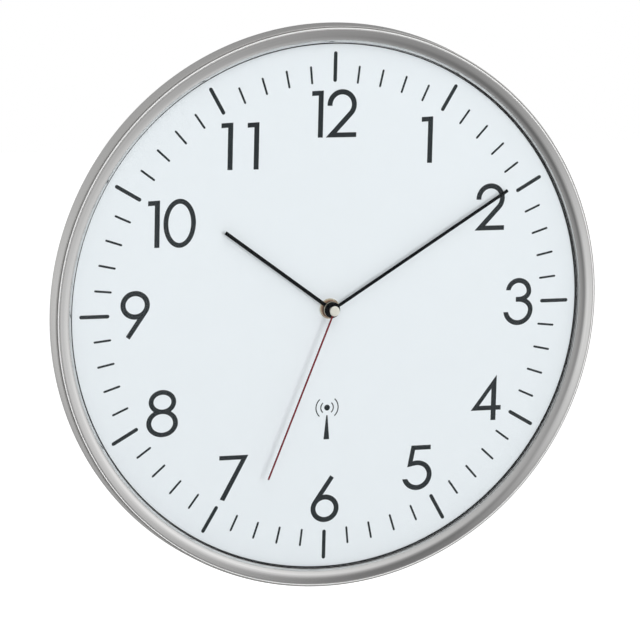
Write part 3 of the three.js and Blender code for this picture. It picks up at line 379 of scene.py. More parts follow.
rim = {"wallFoot": 140.75, "wallBack": 0.1, "opening": 141.1, "wallTop": 2.4, "ease": 0.1,
       "groove": 141.5, "grooveFloor": 2.45, "grooveTop": 2.8,
       "lip": 141.25, "lipFront": 3.2, "crest": 148.15, "lean": 1.5, "curl": 2.22, "bend": 4.5,
       "edge": 148.05, "roll": 0.35, "foot": 0.6, "sheet": 0.8,
       "hollow": 144.5, "inside": [(142.4, 3.6), (141.9, 2.9), (141.9, 0.1)]}


def rimHeight(radius):
    # steep at the lip and almost a cone by the crest
    across = (radius - rim["lip"]) / (rim["crest"] - rim["lip"])
    return rim["lipFront"] + rim["lean"] * across + rim["curl"] * (1 - (1 - across) ** rim["bend"])


rimWidth = rim["edge"] - rim["lip"]
slopeRadii = [rim["lip"] + rimWidth * (step / 24) ** 1.5 for step in range(25)]
rimOutside = rim["edge"] + rim["roll"]
backFace = rimOutside - rim["sheet"]
bezelSection = [(rim["wallFoot"], rim["wallBack"]), (rim["opening"], rim["wallTop"] - rim["ease"]),
                (rim["opening"] + rim["ease"], rim["wallTop"]), (rim["groove"], rim["grooveFloor"]),
                (rim["groove"], rim["grooveTop"]), (rim["lip"] + 0.06, rim["grooveTop"] + 0.05),
                (rim["lip"], rim["grooveTop"] + 0.12)]
bezelSection += [(radius, rimHeight(radius)) for radius in slopeRadii]
bezelSection += bow((rim["edge"], rimHeight(rim["edge"]) - rim["roll"]), (rim["roll"], rim["roll"]), 78, 0, 6)
bezelSection += [(rimOutside, rim["foot"]), (backFace, rim["foot"])]
bezelSection += [(radius, rimHeight(radius) - rim["sheet"]) for radius in (backFace, rim["hollow"])]
bezelSection += rim["inside"]
finished("bezelRing", turned(bezelSection, 256), "bezel_metal", stands=("bezel",), sharp=30)

drum = {"front": 5.45, "frontInner": 149.3, "frontOuter": 150.0, "back": -4.9, "backOuter": 150.8, "backRoll": 0.6,
        "backInner": 149.9, "sheet": 0.8, "turnIn": 147.7}
drumRoll = (drum["frontOuter"] - drum["frontInner"]) / 2
drumSection = bow((drum["frontInner"] + drumRoll, drum["front"] - drumRoll), (drumRoll, drumRoll), 180, 0, 8)
drumSection += bow((drum["backOuter"] - drum["backRoll"], drum["back"] + drum["backRoll"]),
                   (drum["backRoll"], drum["backRoll"]), 0, -90, 6)
drumSection += [(drum["turnIn"], drum["back"]), (drum["turnIn"], drum["back"] + drum["sheet"]),
                (drum["backInner"], drum["back"] + drum["sheet"])]
finished("drumRing", turned(drumSection, 256), "drum_metal", stands=("outer_drum",), sharp=30)

# a white ring on the bezel's rolled edge that stands for its highlight (painted highlight), and a dark ring in the gap
# between it and the drum that stands for the gap's shade (painted shade)
bead = {"middle": 148.71, "half": 0.3, "top": 6.4, "foot": 4.2}
seam = {"gap": 0.01, "outer": 149.32, "top": 5.3}
paintedHighlightSection = bow((bead["middle"], bead["top"] - bead["half"]), (bead["half"], bead["half"]), 180, 0, 8)
paintedHighlightSection += [(bead["middle"] + bead["half"], bead["foot"]), (bead["middle"] - bead["half"], bead["foot"])]
finished("paintedHighlightRing", turned(paintedHighlightSection, 256), "drum_metal", sharp=40, ink="bead")
# the dark ring fills the gap from the white ring out to the drum: painted shade
paintedGapShadeInner = bead["middle"] + bead["half"] + seam["gap"]
paintedGapShadeSection = ringSection(paintedGapShadeInner, seam["outer"], bead["foot"], seam["top"])
finished("paintedGapShadeRing", turned(paintedGapShadeSection, 256), "drum_metal", sharp=40, ink="seam")

gasket = {"inner": 139.78, "outer": 140.6, "back": 0, "front": 0.7}
finished("gasketRing", turned(ringSection(**gasket), 256), "black_rubber", stands=("glass_gasket",))

dome = {"radius": 140.6, "back": 1.3, "thickness": 1.5, "rise": 14.5, "rings": 24, "edge": 0.7, "ground": 0.8}


def domeHeight(radius):
    return dome["back"] + dome["rise"] * (1 - (radius / dome["radius"]) ** 2)


backRadii = [dome["radius"] * ring / dome["rings"] for ring in range(dome["rings"] + 1)]
frontRadii = [dome["radius"] - dome["ground"]] + backRadii[-2::-1]
domeSection = [(radius, domeHeight(radius)) for radius in backRadii]
domeSection += [(dome["radius"], domeHeight(dome["radius"]) + dome["edge"])]
domeSection += [(radius, domeHeight(radius) + dome["thickness"]) for radius in frontRadii]
finished("glassDome", turned(domeSection, 192), "clear_glass", stands=("glass",), sharp=50)
print("rim and glass done")


def corneredBox(halfWidth, halfHeight, corner, middle=(0, 0)):
    # a rounded rectangle, anticlockwise from its right-hand side
    loop = []
    for start, right, up in ((0, 1, 1), (90, -1, 1), (180, -1, -1), (270, 1, -1)):
        heart = (middle[0] + right * (halfWidth - corner), middle[1] + up * (halfHeight - corner))
        loop += bow(heart, (corner, corner), start, start + 90, 6)
    return loop


def circle(radius, middle=(0, 0), steps=32):
    return bow(middle, (radius, radius), 0, 360, steps)[:-1]


def keyholeLoop(up, entry, slot, run):
    side = math.degrees(math.asin(slot / entry))
    return (bow((0, up + run), (slot, slot), 0, 180, 12)
            + bow((0, up), (entry, entry), 90 + side, 450 - side, 30))


def atClock(angle, radius):
    return radius * math.sin(math.radians(angle)), radius * math.cos(math.radians(angle))


def edgeAll(test):
    # a test of an edge that both its ends have to pass
    return lambda edge: all(test(corner.co) for corner in edge.verts)


case = {"back": -24.0, "wall": 2.2, "flat": 103.0, "chamfer": 0.5,
        "grooves": (106.5, 117.5), "grooveHalf": 0.45, "grooveSlope": 0.2, "grooveDeep": 0.55,
        "backRadius": 127.0, "bendStart": 123.0, "bendMiddle": 123.2, "bend": 4.4,
        "shoulder": 139.6, "footMiddle": 140.8, "foot": 1.8,
        "flangeBack": -3.8, "flangeFront": -1.3, "flangeRadius": 149.3, "stepRadius": 146.1, "step": 0.35,
        "innerBend": (2.4, 1.2), "overlap": 0.05}
window = {"halfWidth": 39.8, "halfHeight": 36.8, "corner": 3.0, "collar": 1.6, "collarFront": -15.8}
hanger = {"up": 86.0, "entry": 5.0, "slot": 2.3, "run": 11.0}
rib = {"count": 12, "half": 0.8, "inner": 96.4, "outer": 122.4, "deep": 3.0}


def caseProfile(inside):
    # from the flat's edge out to the flange and back along the inside
    back, flangeBack, flangeFront = case["back"], case["flangeBack"], case["flangeFront"]
    profile = [(case["flat"], back)]
    for middle in case["grooves"]:
        half, slope, low = case["grooveHalf"], case["grooveSlope"], back + case["grooveDeep"]
        profile += [(middle - half, back), (middle - half + slope, low), (middle + half - slope, low),
                    (middle + half, back)]
    profile += [(case["bendStart"], back)]
    profile += bow((case["bendMiddle"], back + case["bend"]), (case["bend"], case["bend"]), -90, -35, 8)[1:]
    profile += bow((case["footMiddle"], flangeBack - case["foot"]), (case["foot"], case["foot"]), 145, 90, 6)
    profile += [(case["stepRadius"], flangeBack), (case["stepRadius"], flangeBack + case["step"]),
                (case["flangeRadius"], flangeBack + case["step"]), (case["flangeRadius"], flangeFront),
                (case["shoulder"] - case["wall"], flangeFront)]
    innerRadius = case["backRadius"] - case["wall"]
    innerAcross, innerUp = case["innerBend"]
    profile += [(innerRadius, inside + innerUp), (innerRadius - innerAcross, inside), (case["flat"], inside)]
    return profile


def caseShell():
    inside = case["back"] + case["wall"]
    holes = [corneredBox(window["halfWidth"], window["halfHeight"], window["corner"]), keyholeLoop(**hanger)]
    plate = slab([circle(case["flat"], steps=192)] + holes, case["back"], inside)
    backEdge = edgeAll(lambda place: place.y > -0.1 * mm and place.xz.length < 100 * mm)
    rounded(plate, case["chamfer"], 60, 1, keep=backEdge)
    plate.normal_update()
    outer = [face for face in plate.faces
             if abs(face.normal.y) < 0.5 and face.calc_center_median().xz.length > case["flat"] * mm - 0.1 * mm]
    bmesh.ops.delete(plate, geom=outer, context="FACES")
    shell = together(plate, turned(caseProfile(inside), 192, closed=False))
    bmesh.ops.remove_doubles(shell, verts=shell.verts, dist=1e-6)
    bmesh.ops.recalc_face_normals(shell, faces=shell.faces)

    collar, lap = window["collar"], case["overlap"]
    collarOutside = corneredBox(window["halfWidth"] + collar, window["halfHeight"] + collar, window["corner"] + collar)
    collarInside = corneredBox(window["halfWidth"] + lap, window["halfHeight"] + lap, window["corner"])
    skirt = slab([collarOutside, collarInside], inside - lap, window["collarFront"])
    bar = [(-rib["half"], rib["inner"]), (rib["half"], rib["inner"]),
           (rib["half"], rib["outer"]), (-rib["half"], rib["outer"])]
    apart = 360 / rib["count"]
    ribs = [clockTurn(slab([bar], inside - lap, inside + rib["deep"]), apart * (place + 0.5))
            for place in range(rib["count"])]
    return together(shell, skirt, *ribs)


finished("caseShell", caseShell(), "case_plastic", stands=("rear_case",), sharp=28)

screw = {"circle": 145.45, "first": 30, "apart": 60, "head": 2.4, "crown": 0.3, "back": -5.0, "front": -3.9,
         "slotFloor": -4.5, "reach": 1.45, "half": 0.33,
         "shank": 1.3, "tip": 0.2, "tipTaper": 0.4, "pitch": 0.6, "threadDeep": 0.25, "threadRun": (0.2, 0.5)}


def crossLoop(reach, half, middle=(0, 0)):
    corners = [(reach, -half), (reach, half), (half, half), (half, reach), (-half, reach), (-half, half),
               (-reach, half), (-reach, -half), (-half, -half), (-half, -reach), (half, -reach), (half, -half)]
    return [(middle[0] + x, middle[1] + z) for x, z in corners]


def caseScrew(angle):
    place = atClock(angle, screw["circle"])
    top = slab([circle(screw["head"]), crossLoop(screw["reach"], screw["half"])], screw["back"], screw["slotFloor"])
    crownLevel = dialFace - screw["back"] * mm - 1e-6
    headEdge = edgeAll(lambda spot: spot.y > crownLevel and spot.xz.length > (screw["head"] - 0.1) * mm)
    rounded(top, screw["crown"], 60, 3, keep=headEdge)
    bmesh.ops.translate(top, vec=(place[0] * mm, 0, place[1] * mm), verts=top.verts)
    body = [(0, screw["slotFloor"]), (screw["head"], screw["slotFloor"]), (screw["head"], screw["front"]),
            (screw["shank"], screw["front"])]
    for turnCount in range(int((screw["tip"] - screw["front"]) / screw["pitch"])):
        low = screw["front"] + screw["pitch"] * turnCount
        body += [(screw["shank"], low + screw["threadRun"][0]),
                 (screw["shank"] - screw["threadDeep"], low + screw["threadRun"][1])]
    body += [(screw["shank"] - screw["tipTaper"], screw["tip"]), (0, screw["tip"])]
    return together(top, turned(body, 32, place))


for number in range(6):
    shape = caseScrew(screw["first"] + screw["apart"] * number)
    finished(f"caseScrew{number + 1}", shape, "screw_steel", stands=(f"case_screw_{number + 1}",))
print("rear case done")

ink = {"back": 0.0, "front": 0.04}
# each digit is a list of loops in mm, from the foot of its line up


def numeralOne():
    return [[(3.65, 0), (6.4, 0), (6.4, 24.75), (0, 24.45), (0, 21.9), (3.65, 22.15)]]


def numeralTwo():
    middle = (8.7, 17.2)
    return [bow(middle, (8.1, 8.1), 184, -42.8, 40) + [(6.1, 2.55), (16.9, 2.55), (16.9, 0), (0, 0)]
            + bow(middle, (5.35, 5.35), -42.8, 186, 40)]


def numeralThree():
    upper, lower = (8.45, 18.45), (8.45, 8.5)
    return [bow(upper, (7.35, 7.35), 173.7, 0) + bow(upper, (7.35, 5.7), 0, -48.5)[1:]
            + bow(lower, (8.5, 6.95), 55.2, 0) + bow(lower, (8.5, 8.5), 0, -172)[1:]
            + bow(lower, (5.8, 5.8), -168.5, 0) + bow(lower, (5.8, 4.3), 0, 90)[1:]
            + [(7.0, 12.8), (7.0, 15.45)] + bow(upper, (4.65, 3.0), -90, 0) + bow(upper, (4.65, 4.65), 0, 170)[1:]]


def numeralFour():
    return [[(11.6, 0), (14.45, 0), (14.45, 5.6), (17.3, 5.6), (17.3, 8.15), (14.45, 8.15), (14.45, 24.9), (0, 5.6),
             (11.6, 5.6)], [(11.6, 8.15), (11.6, 17.45), (4.8, 8.15)]]


def numeralFive():
    middle = (8.25, 8.55)
    return [[(4.8, 24.65), (15.85, 24.65), (15.85, 22.15), (6.95, 22.15)] + bow(middle, (8.55, 7.8), 106.8, 0)
            + bow(middle, (8.55, 8.55), 0, -165)[1:] + bow(middle, (5.75, 5.75), -157.5, 0)
            + bow(middle, (5.75, 5.2), 0, 98)[1:] + [(2.65, 12.85)]]


def numeralSix():
    middle = (7.9, 7.55)
    return [[(10.65, 25.5), (12.7, 24.05)] + bow(middle, (7.9, 7.55), 99, -212.8, 60),
            bow(middle, (5.15, 4.8), 0, 360, 40)[:-1]]


def numeralSeven():
    return [[(0, 24.5), (16, 24.5), (3.15, 0), (0.65, 1.0), (12, 22.15), (0, 22.15)]]


def numeralEight():
    upper, lower = (8.65, 18.7), (8.65, 7.4)
    return [bow(upper, (7.45, 6.5), -51.7, 231.7, 50) + bow(lower, (8.6, 7.4), 123.1, 416.9, 50),
            bow(upper, (4.85, 3.95), 0, 360, 40)[:-1], bow(lower, (5.9, 5.0), 0, 360, 40)[:-1]]


def numeralNine():
    return [[(15.8 - x, 25.5 - z) for x, z in loop] for loop in numeralSix()]


def numeralZero():
    middle = (8.75, 12.55)
    return [bow(middle, (8.75, 12.85), 0, 360, 60)[:-1], bow(middle, (6.15, 10.25), 0, 360, 60)[:-1]]


shapesOf = {"0": numeralZero, "1": numeralOne, "2": numeralTwo, "3": numeralThree, "4": numeralFour,
            "5": numeralFive, "6": numeralSix, "7": numeralSeven, "8": numeralEight, "9": numeralNine}
# hour, its middle on the dial and the gap between its two digits
hours = [("12", 0, 103.6, 1.6), ("1", 52.1, 88.8, 0), ("2", 89.2, 52.0, 0), ("3", 107.4, 0, 0), ("4", 90.6, -52.2, 0),
         ("5", 52.1, -88.9, 0), ("6", 0, -103.2, 0), ("7", -51.3, -89.2, 0), ("8", -90.9, -52.6, 0),
         ("9", -106.4, 0.2, 0), ("10", -87.3, 47.7, 2.0), ("11", -51.2, 87.3, 7.8)]


def numeral(text, x, z, gap):
    loops, reach = [], 0
    for digit in text:
        drawn = shapesOf[digit]()
        left = min(point[0] for loop in drawn for point in loop)
        loops += [[(reach + px - left, pz) for px, pz in loop] for loop in drawn]
        reach = gap + max(point[0] for loop in loops for point in loop)
    xs = [point[0] for loop in loops for point in loop]
    zs = [point[1] for loop in loops for point in loop]
    shiftX, shiftZ = x - (min(xs) + max(xs)) / 2, z - (min(zs) + max(zs)) / 2
    return slab([[(px + shiftX, pz + shiftZ) for px, pz in loop] for loop in loops], ink["back"], ink["front"])


finished("hourNumerals", together(*[numeral(*hour) for hour in hours]), "chip_black", ink="ink")

marks = {"hour": {"inner": 120.1, "outer": 136.05, "width": 1.97},
         "minute": {"inner": 119.65, "outer": 129.1, "width": 1.13}}


def mark(minute):
    size = marks["hour" if minute % 5 == 0 else "minute"]
    half = size["width"] / 2
    low, high = size["inner"] + half, size["outer"] - half
    outline = bow((0, high), (half, half), 0, 180, 10) + bow((0, low), (half, half), 180, 360, 10)
    return clockTurn(slab([outline], ink["back"], ink["front"]), 6 * minute)


finished("minuteMarks", together(*[mark(minute) for minute in range(60)]), "chip_black", ink="ink")

# a plain sign for radio reception: a mast, its tip and two bows each side
mast = {"middle": (0, -53.5), "dot": 1.6, "bows": (3.5, 6.2), "span": 48, "line": 0.6,
        "apex": -57.6, "apexHalf": 0.35, "foot": -70.7, "footHalf": 1.6}


def mastBow(radius, heading):
    inner, outer = radius - mast["line"] / 2, radius + mast["line"] / 2
    start, end = heading - mast["span"], heading + mast["span"]
    return bow(mast["middle"], (outer, outer), start, end, 20) + bow(mast["middle"], (inner, inner), end, start, 20)


mastLoop = [(-mast["footHalf"], mast["foot"]), (mast["footHalf"], mast["foot"]),
            (mast["apexHalf"], mast["apex"]), (-mast["apexHalf"], mast["apex"])]
signLoops = [circle(mast["dot"], mast["middle"], 24), mastLoop]
signLoops += [mastBow(radius, heading) for radius in mast["bows"] for heading in (0, 180)]
finished("receptionSign", slab(signLoops, ink["back"], ink["front"]), "chip_black", ink="ink")
print("dial print done")

hands = {
    "hour": {"angle": 305.7, "length": 73, "width": 1.95, "height": 3.5, "sheet": 0.3,
             "boss": 4.3, "bore": 2.4, "bossSheet": 0.6},
    "minute": {"angle": 57.76, "length": 115, "width": 1.8, "height": 4.6, "sheet": 0.3,
               "boss": 4.3, "bore": 1.7, "bossSheet": 0.6},
    "second": {"angle": 201.17, "length": 95.7, "width": 1.0, "height": 8.2, "sheet": 0.3,
               "boss": 2.2, "bore": 0.5, "bossSheet": 0.3},
}
secondTube = {"inner": 0.5, "outer": 1.05, "back": 5.9, "front": 8.2}


def stick(hand):
    half, length, height = hand["width"] / 2, hand["length"], hand["height"]
    back = height - hand["sheet"] / 2
    blade = slab([[(-half, 0), (half, 0), (half, length), (-half, length)]], back, back + hand["sheet"])
    rounded(blade, 0.08, 60)
    bossHalf = hand["bossSheet"] / 2
    boss = turned(ringSection(hand["bore"], hand["boss"], height - bossHalf, height + bossHalf), 64)
    rounded(boss, 0.12, 60, 3)
    return clockTurn(together(blade, boss), hand["angle"])


finished("hourStick", stick(hands["hour"]), "hand_black", "hour", ("hour_hand",))
finished("minuteStick", stick(hands["minute"]), "hand_black", "minute", ("minute_hand",))
secondShape = together(stick(hands["second"]), turned(ringSection(**secondTube), 32))
finished("secondStick", secondShape, "hand_red", "second", ("second_hand",))

collar = {"inner": 1.9, "outer": 4.42, "back": 3.95, "front": 4.25}  # the bright ring under the minute boss
finished("minuteCollar", rounded(turned(ringSection(**collar), 64), 0.06, 60), "brass", "minute")

cap = {"radius": 2.7, "back": 8.45, "height": 0.9, "bevel": 0.45, "crown": 0.12}
capFront = cap["back"] + cap["height"]
capSection = [(0, cap["back"]), (cap["radius"], cap["back"]), (cap["radius"], capFront - cap["bevel"]),
              (cap["radius"] - cap["bevel"], capFront - cap["crown"]), (0, capFront)]
finished("capDisc", rounded(turned(capSection, 64), 0.1, 30), "cap_metal", "second", ("second_cap",), sharp=25)

washer = {"inner": 3.95, "outer": 5.5, "back": 0.1, "front": 0.6}
finished("washerRing", rounded(turned(ringSection(**washer), 96), 0.1, 60, 3), "brass", stands=("brass_washer",))
nut = {"inner": 3.95, "outer": 4.9, "back": 0.7, "front": 2.3, "chamfer": 0.4, "boreChamfer": 0.2}
nutSection = [(nut["inner"], nut["back"]), (nut["outer"], nut["back"]), (nut["outer"], nut["front"] - nut["chamfer"]),
              (nut["outer"] - nut["chamfer"], nut["front"]), (nut["inner"] + nut["boreChamfer"], nut["front"])]
finished("nutRing", rounded(turned(nutSection, 96), 0.08, 30), "brass", stands=("fixing_nut",), ink="nut")
print("hands done")

bay = {"half": 27.5, "bottom": -34.6, "top": -17.6, "up": -26.1, "corner": 0.8, "cellHeight": -16.3}
lid = {"halfWidth": 39.0, "halfHeight": 36.0, "corner": 3.0, "back": -24.0, "sunk": -23.5, "inside": -22.6,
       "paint": (-23.88, -23.45)}
keys = {"places": (-13, 0, 13), "up": 8.0, "bore": 2.45, "well": 3.3,
        "cap": [(0, -23.5), (1.5, -23.6), (1.9, -23.6), (2.1, -23.52), (2.2, -23.3), (2.2, -22.5), (3.1, -22.5),
                (3.1, -21.9), (2.2, -21.9), (2.2, -20.9), (0, -20.9)]}
# plus and minus, a dot for reset, a pointer for the hands and two bows for reception
signs = {"pole": 30.9, "reach": 1.7, "half": 0.35, "corner": 0.25, "dot": 0.8, "dotMiddle": (-13, 1.9),
         "pointer": [(-1.0, 1.1), (1.0, 1.1), (0, 2.9)],
         "bows": ((1.25, 0.8), (2.25, 1.8)), "bowMiddle": (13, 1.2)}
relief = {"frame": (24, 10.5, 3), "frameMiddle": (0, 5.5), "frameLine": 0.8,
          "hookLong": 3.2, "hookShort": 0.6, "hookCorner": 0.3, "topHook": (26, 33.6), "sideHook": (36.8, 20),
          "grip": (0.5, 4.2, 0.4), "gripUp": 24, "gripPlaces": range(-12, 13, 3)}


def coverSigns():
    loops = [crossLoop(signs["reach"], signs["half"], (signs["pole"], bay["up"])),
             corneredBox(signs["reach"], signs["half"], signs["corner"], (-signs["pole"], bay["up"])),
             circle(signs["dot"], signs["dotMiddle"], 16), signs["pointer"]]
    for outer, inner in signs["bows"]:
        loops += [bow(signs["bowMiddle"], (outer, outer), 30, 150, 10)
                  + bow(signs["bowMiddle"], (inner, inner), 150, 30, 10)]
    return loops


def coverRelief():
    # a frame line round the keys, four hooks and the grip lines
    frame = [corneredBox(*[size - inset for size in relief["frame"]], relief["frameMiddle"])
             for inset in (0, relief["frameLine"])]
    long, short, corner = relief["hookLong"], relief["hookShort"], relief["hookCorner"]
    across, up = relief["topHook"]
    hooks = [corneredBox(long, short, corner, (side * across, up)) for side in (-1, 1)]
    across, up = relief["sideHook"]
    hooks += [corneredBox(short, long, corner, (side * across, up)) for side in (-1, 1)]
    return frame + hooks + [corneredBox(*relief["grip"], (x, relief["gripUp"])) for x in relief["gripPlaces"]]


def coverPlate():
    mouth = corneredBox(bay["half"], (bay["top"] - bay["bottom"]) / 2, bay["corner"], (0, bay["up"]))
    outside = corneredBox(lid["halfWidth"], lid["halfHeight"], lid["corner"])
    keySpots = [(x, keys["up"]) for x in keys["places"]]
    wells, bores = [[circle(keys[size], spot) for spot in keySpots] for size in ("well", "bore")]
    top = slab([outside, mouth] + wells + coverSigns() + coverRelief(), lid["back"], lid["sunk"])
    rounded(top, 0.15, 60, 1, keep=edgeAll(lambda place: place.y > -0.05 * mm))
    return together(top, slab([outside, mouth] + bores, lid["sunk"], lid["inside"]))


finished("coverPlate", coverPlate(), "movement_plastic", stands=("movement_cover",), sharp=28)
finished("coverPaint", slab(coverSigns(), *lid["paint"]), "movement_plastic", ink="paint")


def lying(section, steps=64):
    # spins (radius, along) points about the battery's own axis, the plus end to the right
    shape = turned(section, steps)
    bmesh.ops.translate(shape, vec=(0, -dialFace, 0), verts=shape.verts)
    bmesh.ops.rotate(shape, cent=(0, 0, 0), matrix=Matrix.Rotation(math.radians(90), 3, "Z"), verts=shape.verts)
    bmesh.ops.translate(shape, vec=(0, dialFace - bay["cellHeight"] * mm, bay["up"] * mm), verts=shape.verts)
    return shape


cell = {"left": -23.5, "right": 25.7, "tip": 26.9, "radius": 7.1, "nub": 2.7, "sleeve": 0.12}
foil = {"dark": (0.018, 0.024, 0.03), "line": (0.7, 0.36, 0.12), "pale": (0.48, 0.47, 0.45), "wear": (0.2, 0.2, 0.2),
        "lineFrom": 0.705, "lineTo": 0.725, "soft": 0.005}
canRadius = cell["radius"] - cell["sleeve"]


def canSection():
    left, right, tip, nub = cell["left"], cell["right"], cell["tip"], cell["nub"]
    minusEnd = [(0, left), (3.2, left), (3.5, left + 0.3), (5.6, left + 0.3), (6.2, left + 0.2)]
    side = [(canRadius - 0.3, left + 0.3), (canRadius, left + 0.6), (canRadius, right - 0.6),
            (canRadius - 0.3, right - 0.25)]
    plusEnd = [(5.4, right - 0.2), (5.0, right - 0.35), (nub + 0.5, right - 0.35), (nub, right), (nub, tip - 0.4),
               (nub - 0.4, tip), (0, tip)]
    return minusEnd + side + plusEnd


def sleeveSection():
    left, right, radius = cell["left"], cell["right"], cell["radius"]
    outside = [(5.9, left), (6.7, left + 0.02), (radius, left + 0.4), (radius, right - 0.4), (6.7, right - 0.02),
               (5.9, right - 0.02)]
    inside = [(5.9, right - 0.12), (6.6, right - 0.14), (canRadius, right - 0.5), (canRadius, left + 0.5),
              (6.6, left + 0.14), (5.9, left + 0.12)]
    return outside + inside


finishes["sleeve"] = printedFoil("sleeveFoil", cell["left"], cell["right"], foil)
finished("cellCan", lying(canSection()), "cell_label", stands=("battery",), ink="contact_steel")
finished("cellSleeve", lying(sleeveSection()), "cell_label", ink="sleeve")

for number, across in enumerate(keys["places"], 1):
    shape = turned(keys["cap"], 48, (across, keys["up"]))
    finished(f"keyCap{number}", shape, "button_plastic", f"key_{number}", (f"button_{number}",), sharp=40)

leaf = {"points": [(-27.2, -31.1), (-27.2, -22.1), (-26.6, -21.2), (-25.4, -21.3), (-24.2, -22.6), (-23.8, -24.4),
                   (-23.8, -27.4), (-24.3, -28.9), (-25.6, -30.1)],
        "sweeps": 2, "half": 0.2, "halfWidth": 5}


def leafSpring():
    points = leaf["points"]
    for _ in range(leaf["sweeps"]):  # each sweep cuts the corners off
        rounder = [points[0]]
        for first, second in zip(points, points[1:]):
            for share in (0.25, 0.75):
                rounder.append(tuple(a * (1 - share) + b * share for a, b in zip(first, second)))
        points = rounder + [points[-1]]
    outSide, inSide = [], []
    for number, point in enumerate(points):
        before, after = Vector(points[max(number - 1, 0)]), Vector(points[min(number + 1, len(points) - 1)])
        run = (after - before).normalized() * leaf["half"]
        outSide.append((point[0] - run.y, point[1] + run.x))
        inSide.insert(0, (point[0] + run.y, point[1] - run.x))
    middle = bay["cellHeight"]
    return slab([outSide + inSide], middle - leaf["halfWidth"], middle + leaf["halfWidth"])


finished("leafSpring", leafSpring(), "contact_steel", stands=("contact_leaf",))
print("movement back done")

room = {"floorDrop": 0.32, "floorSize": 8.0, "floorColour": (0.8, 0.8, 0.8), "floorGlow": 0.6,
        "level": 0.6, "up": 0.45, "side": 0.38, "behind": 0.1, "wall": 1.0, "darkest": 0.08, "fill": 0.57,
        "shine": 0.52, "leastShine": 0.02}


def seenDirectly(finish, *kinds):
    # 1 for the rays that show the background, 0 for those that light a matt surface, also through the glass
    path = finish.node("ShaderNodeLightPath").socket.node
    total = Wire(finish, path.outputs[kinds[0]])
    for kind in kinds[1:]:
        total = total + Wire(finish, path.outputs[kind])
    matt = Wire(finish, path.outputs["Diffuse Depth"])
    clear = 1 - matt.maths("MINIMUM", matt, 1.0)
    return clear * total.maths("MINIMUM", total, 1.0)


def stageFinish(name, colour, glow):
    finish = Finish(name, **{"Base Color": colour, "Roughness": 0.9, "Specular IOR Level": 0.0})
    seen = seenDirectly(finish, "Is Camera Ray", "Is Glossy Ray", "Is Transmission Ray")
    white = finish.node("ShaderNodeEmission", {}, {"Color": (1, 1, 1), "Strength": glow})
    plain = Wire(finish, finish.shader.outputs[0])
    lit = finish.node("ShaderNodeAddShader", {}, {0: plain, 1: white})
    both = finish.node("ShaderNodeMixShader", {}, {0: seen, 1: plain, 2: lit})
    finish.set(finish.output, "Surface", both)
    return finish.material


def stagePlate(name, corners, material):
    mesh = bpy.data.meshes.new(name)
    shape = bmesh.new()
    shape.faces.new([shape.verts.new(corner) for corner in corners])
    shape.to_mesh(mesh)
    shape.free()
    mesh.materials.append(material)
    plate = bpy.data.objects.new(name, mesh)
    bpy.context.scene.collection.objects.link(plate)
    return plate


half = room["floorSize"] / 2
floorLevel = cadBox[0][2] - room["floorDrop"]
floorCorners = [(x * half, y * half, floorLevel) for x, y in ((-1, -1), (1, -1), (1, 1), (-1, 1))]
ground = stagePlate("floor", floorCorners, stageFinish("paleFloor", room["floorColour"], room["floorGlow"]))
ground.visible_glossy = False

world = bpy.data.worlds.new("softRoom")
bpy.context.scene.world = world
world.use_nodes = True
world.node_tree.nodes.clear()


class Sky(Finish):
    def __init__(self, world):
        self.tree = world.node_tree
        self.output = self.tree.nodes.new("ShaderNodeOutputWorld")


skyLobes = [  # the way each soft panel or dark gap lies, how narrow it is and how bright
    ((0.09, -0.92, -0.38), 2, -0.78),
    ((0.88, 0.47, 0.04), 2.9, -0.8),
    ((0.14, -0.98, 0.12), 12.5, -0.8),
    ((0.72, -0.08, -0.69), 18, 0.32),
    ((0.75, -0.63, 0.17), 1.6, 1.05),
    ((-0.06, -0.99, -0.11), 20, 1.14),
    ((0.75, 0.63, -0.2), 12.4, 0.94),
    ((-0.46, 0.88, -0.13), 19, 0.27),
]
sky = Sky(world)
seen = seenDirectly(sky, "Is Camera Ray", "Is Transmission Ray")
gloss = seenDirectly(sky, "Is Glossy Ray")
aim = sky.node("ShaderNodeTexCoord", output="Generated")
side, front, up = sky.axes(aim)
matt = room["level"] + room["up"] * up + room["side"] * side + room["behind"] * front
matt = matt + front.maths("MAXIMUM", front, 0.0) * room["wall"]  # a pale wall behind
matt = matt.maths("MAXIMUM", matt, room["darkest"]) * room["fill"]
shine = room["shine"]
for axis, narrow, amount in skyLobes:
    along = sky.node("ShaderNodeVectorMath", {"operation": "DOT_PRODUCT"}, {0: aim, 1: axis}, output=1)
    closeness = (along - 1) * narrow
    shine = shine + closeness.maths("EXPONENT", closeness) * amount
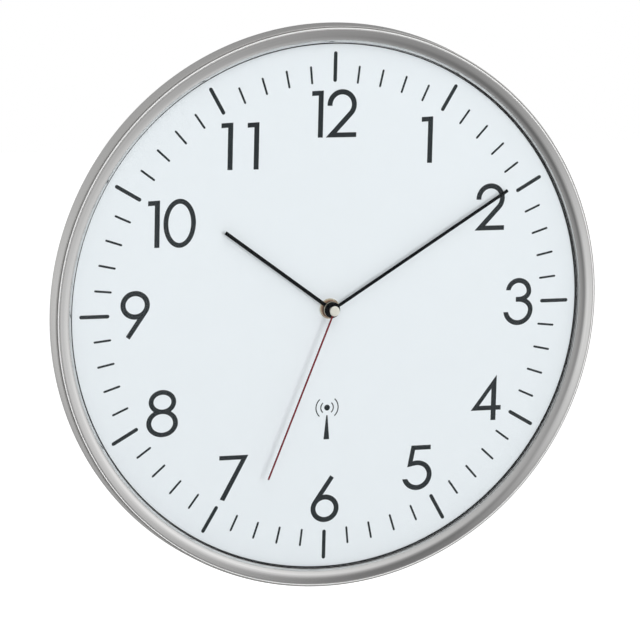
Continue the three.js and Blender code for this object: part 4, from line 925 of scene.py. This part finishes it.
shine = shine.maths("MAXIMUM", shine, room["leastShine"])
mixed = seen + (1 - seen) * (gloss * shine + (1 - gloss) * matt)
glow = sky.node("ShaderNodeBackground", {}, {"Color": (1, 1, 1), "Strength": mixed})
sky.set(sky.output, "Surface", glow)

heart = Vector((0, dialFace, 0))
lamps = {"keyLamp": {"place": (0.176, -1.62, 0.19), "size": 0.62, "power": 11.2},
         "topLamp": {"place": (-0.1, -0.82, 0.9), "size": 0.8, "power": 3.05}}
for name, lamp in lamps.items():
    data = bpy.data.lights.new(name, "AREA")
    data.shape, data.size, data.energy = "DISK", lamp["size"], lamp["power"]
    light = bpy.data.objects.new(name, data)
    light.location = lamp["place"]
    light.rotation_euler = (heart - Vector(lamp["place"])).to_track_quat("-Z", "Y").to_euler()
    light.visible_glossy = False
    bpy.context.scene.collection.objects.link(light)

# angles in degrees, the distance in metres, the sensor in mm, and the rest in pixels of the 640 by 640 frame
view = {"azimuth": -19.075, "elevation": 10.243, "roll": 1.415, "distance": 1.7468, "focal": 3306.5,
        "right": 9.325, "up": 11.63, "frame": 640, "sensor": 36}
azimuth, elevation, roll = [math.radians(view[key]) for key in ("azimuth", "elevation", "roll")]
back = Vector((math.sin(azimuth) * math.cos(elevation), -math.cos(azimuth) * math.cos(elevation),
               math.sin(elevation)))
right = Vector((math.cos(azimuth), math.sin(azimuth), 0))
up = back.cross(right)
rolledRight = math.cos(roll) * right + math.sin(roll) * up
rolledUp = -math.sin(roll) * right + math.cos(roll) * up
camera = bpy.data.objects.new("camera", bpy.data.cameras.new("camera"))
bpy.context.scene.collection.objects.link(camera)
turn = Matrix((rolledRight, rolledUp, back)).transposed().to_4x4()
camera.matrix_world = Matrix.Translation(heart + back * view["distance"]) @ turn
camera.data.sensor_width = view["sensor"]
camera.data.lens = view["sensor"] * view["focal"] / view["frame"]
camera.data.shift_x = -view["right"] / view["frame"]
camera.data.shift_y = -view["up"] / view["frame"]
bpy.context.scene.camera = camera
bpy.context.scene.view_settings.view_transform = "Standard"
print("stage done")
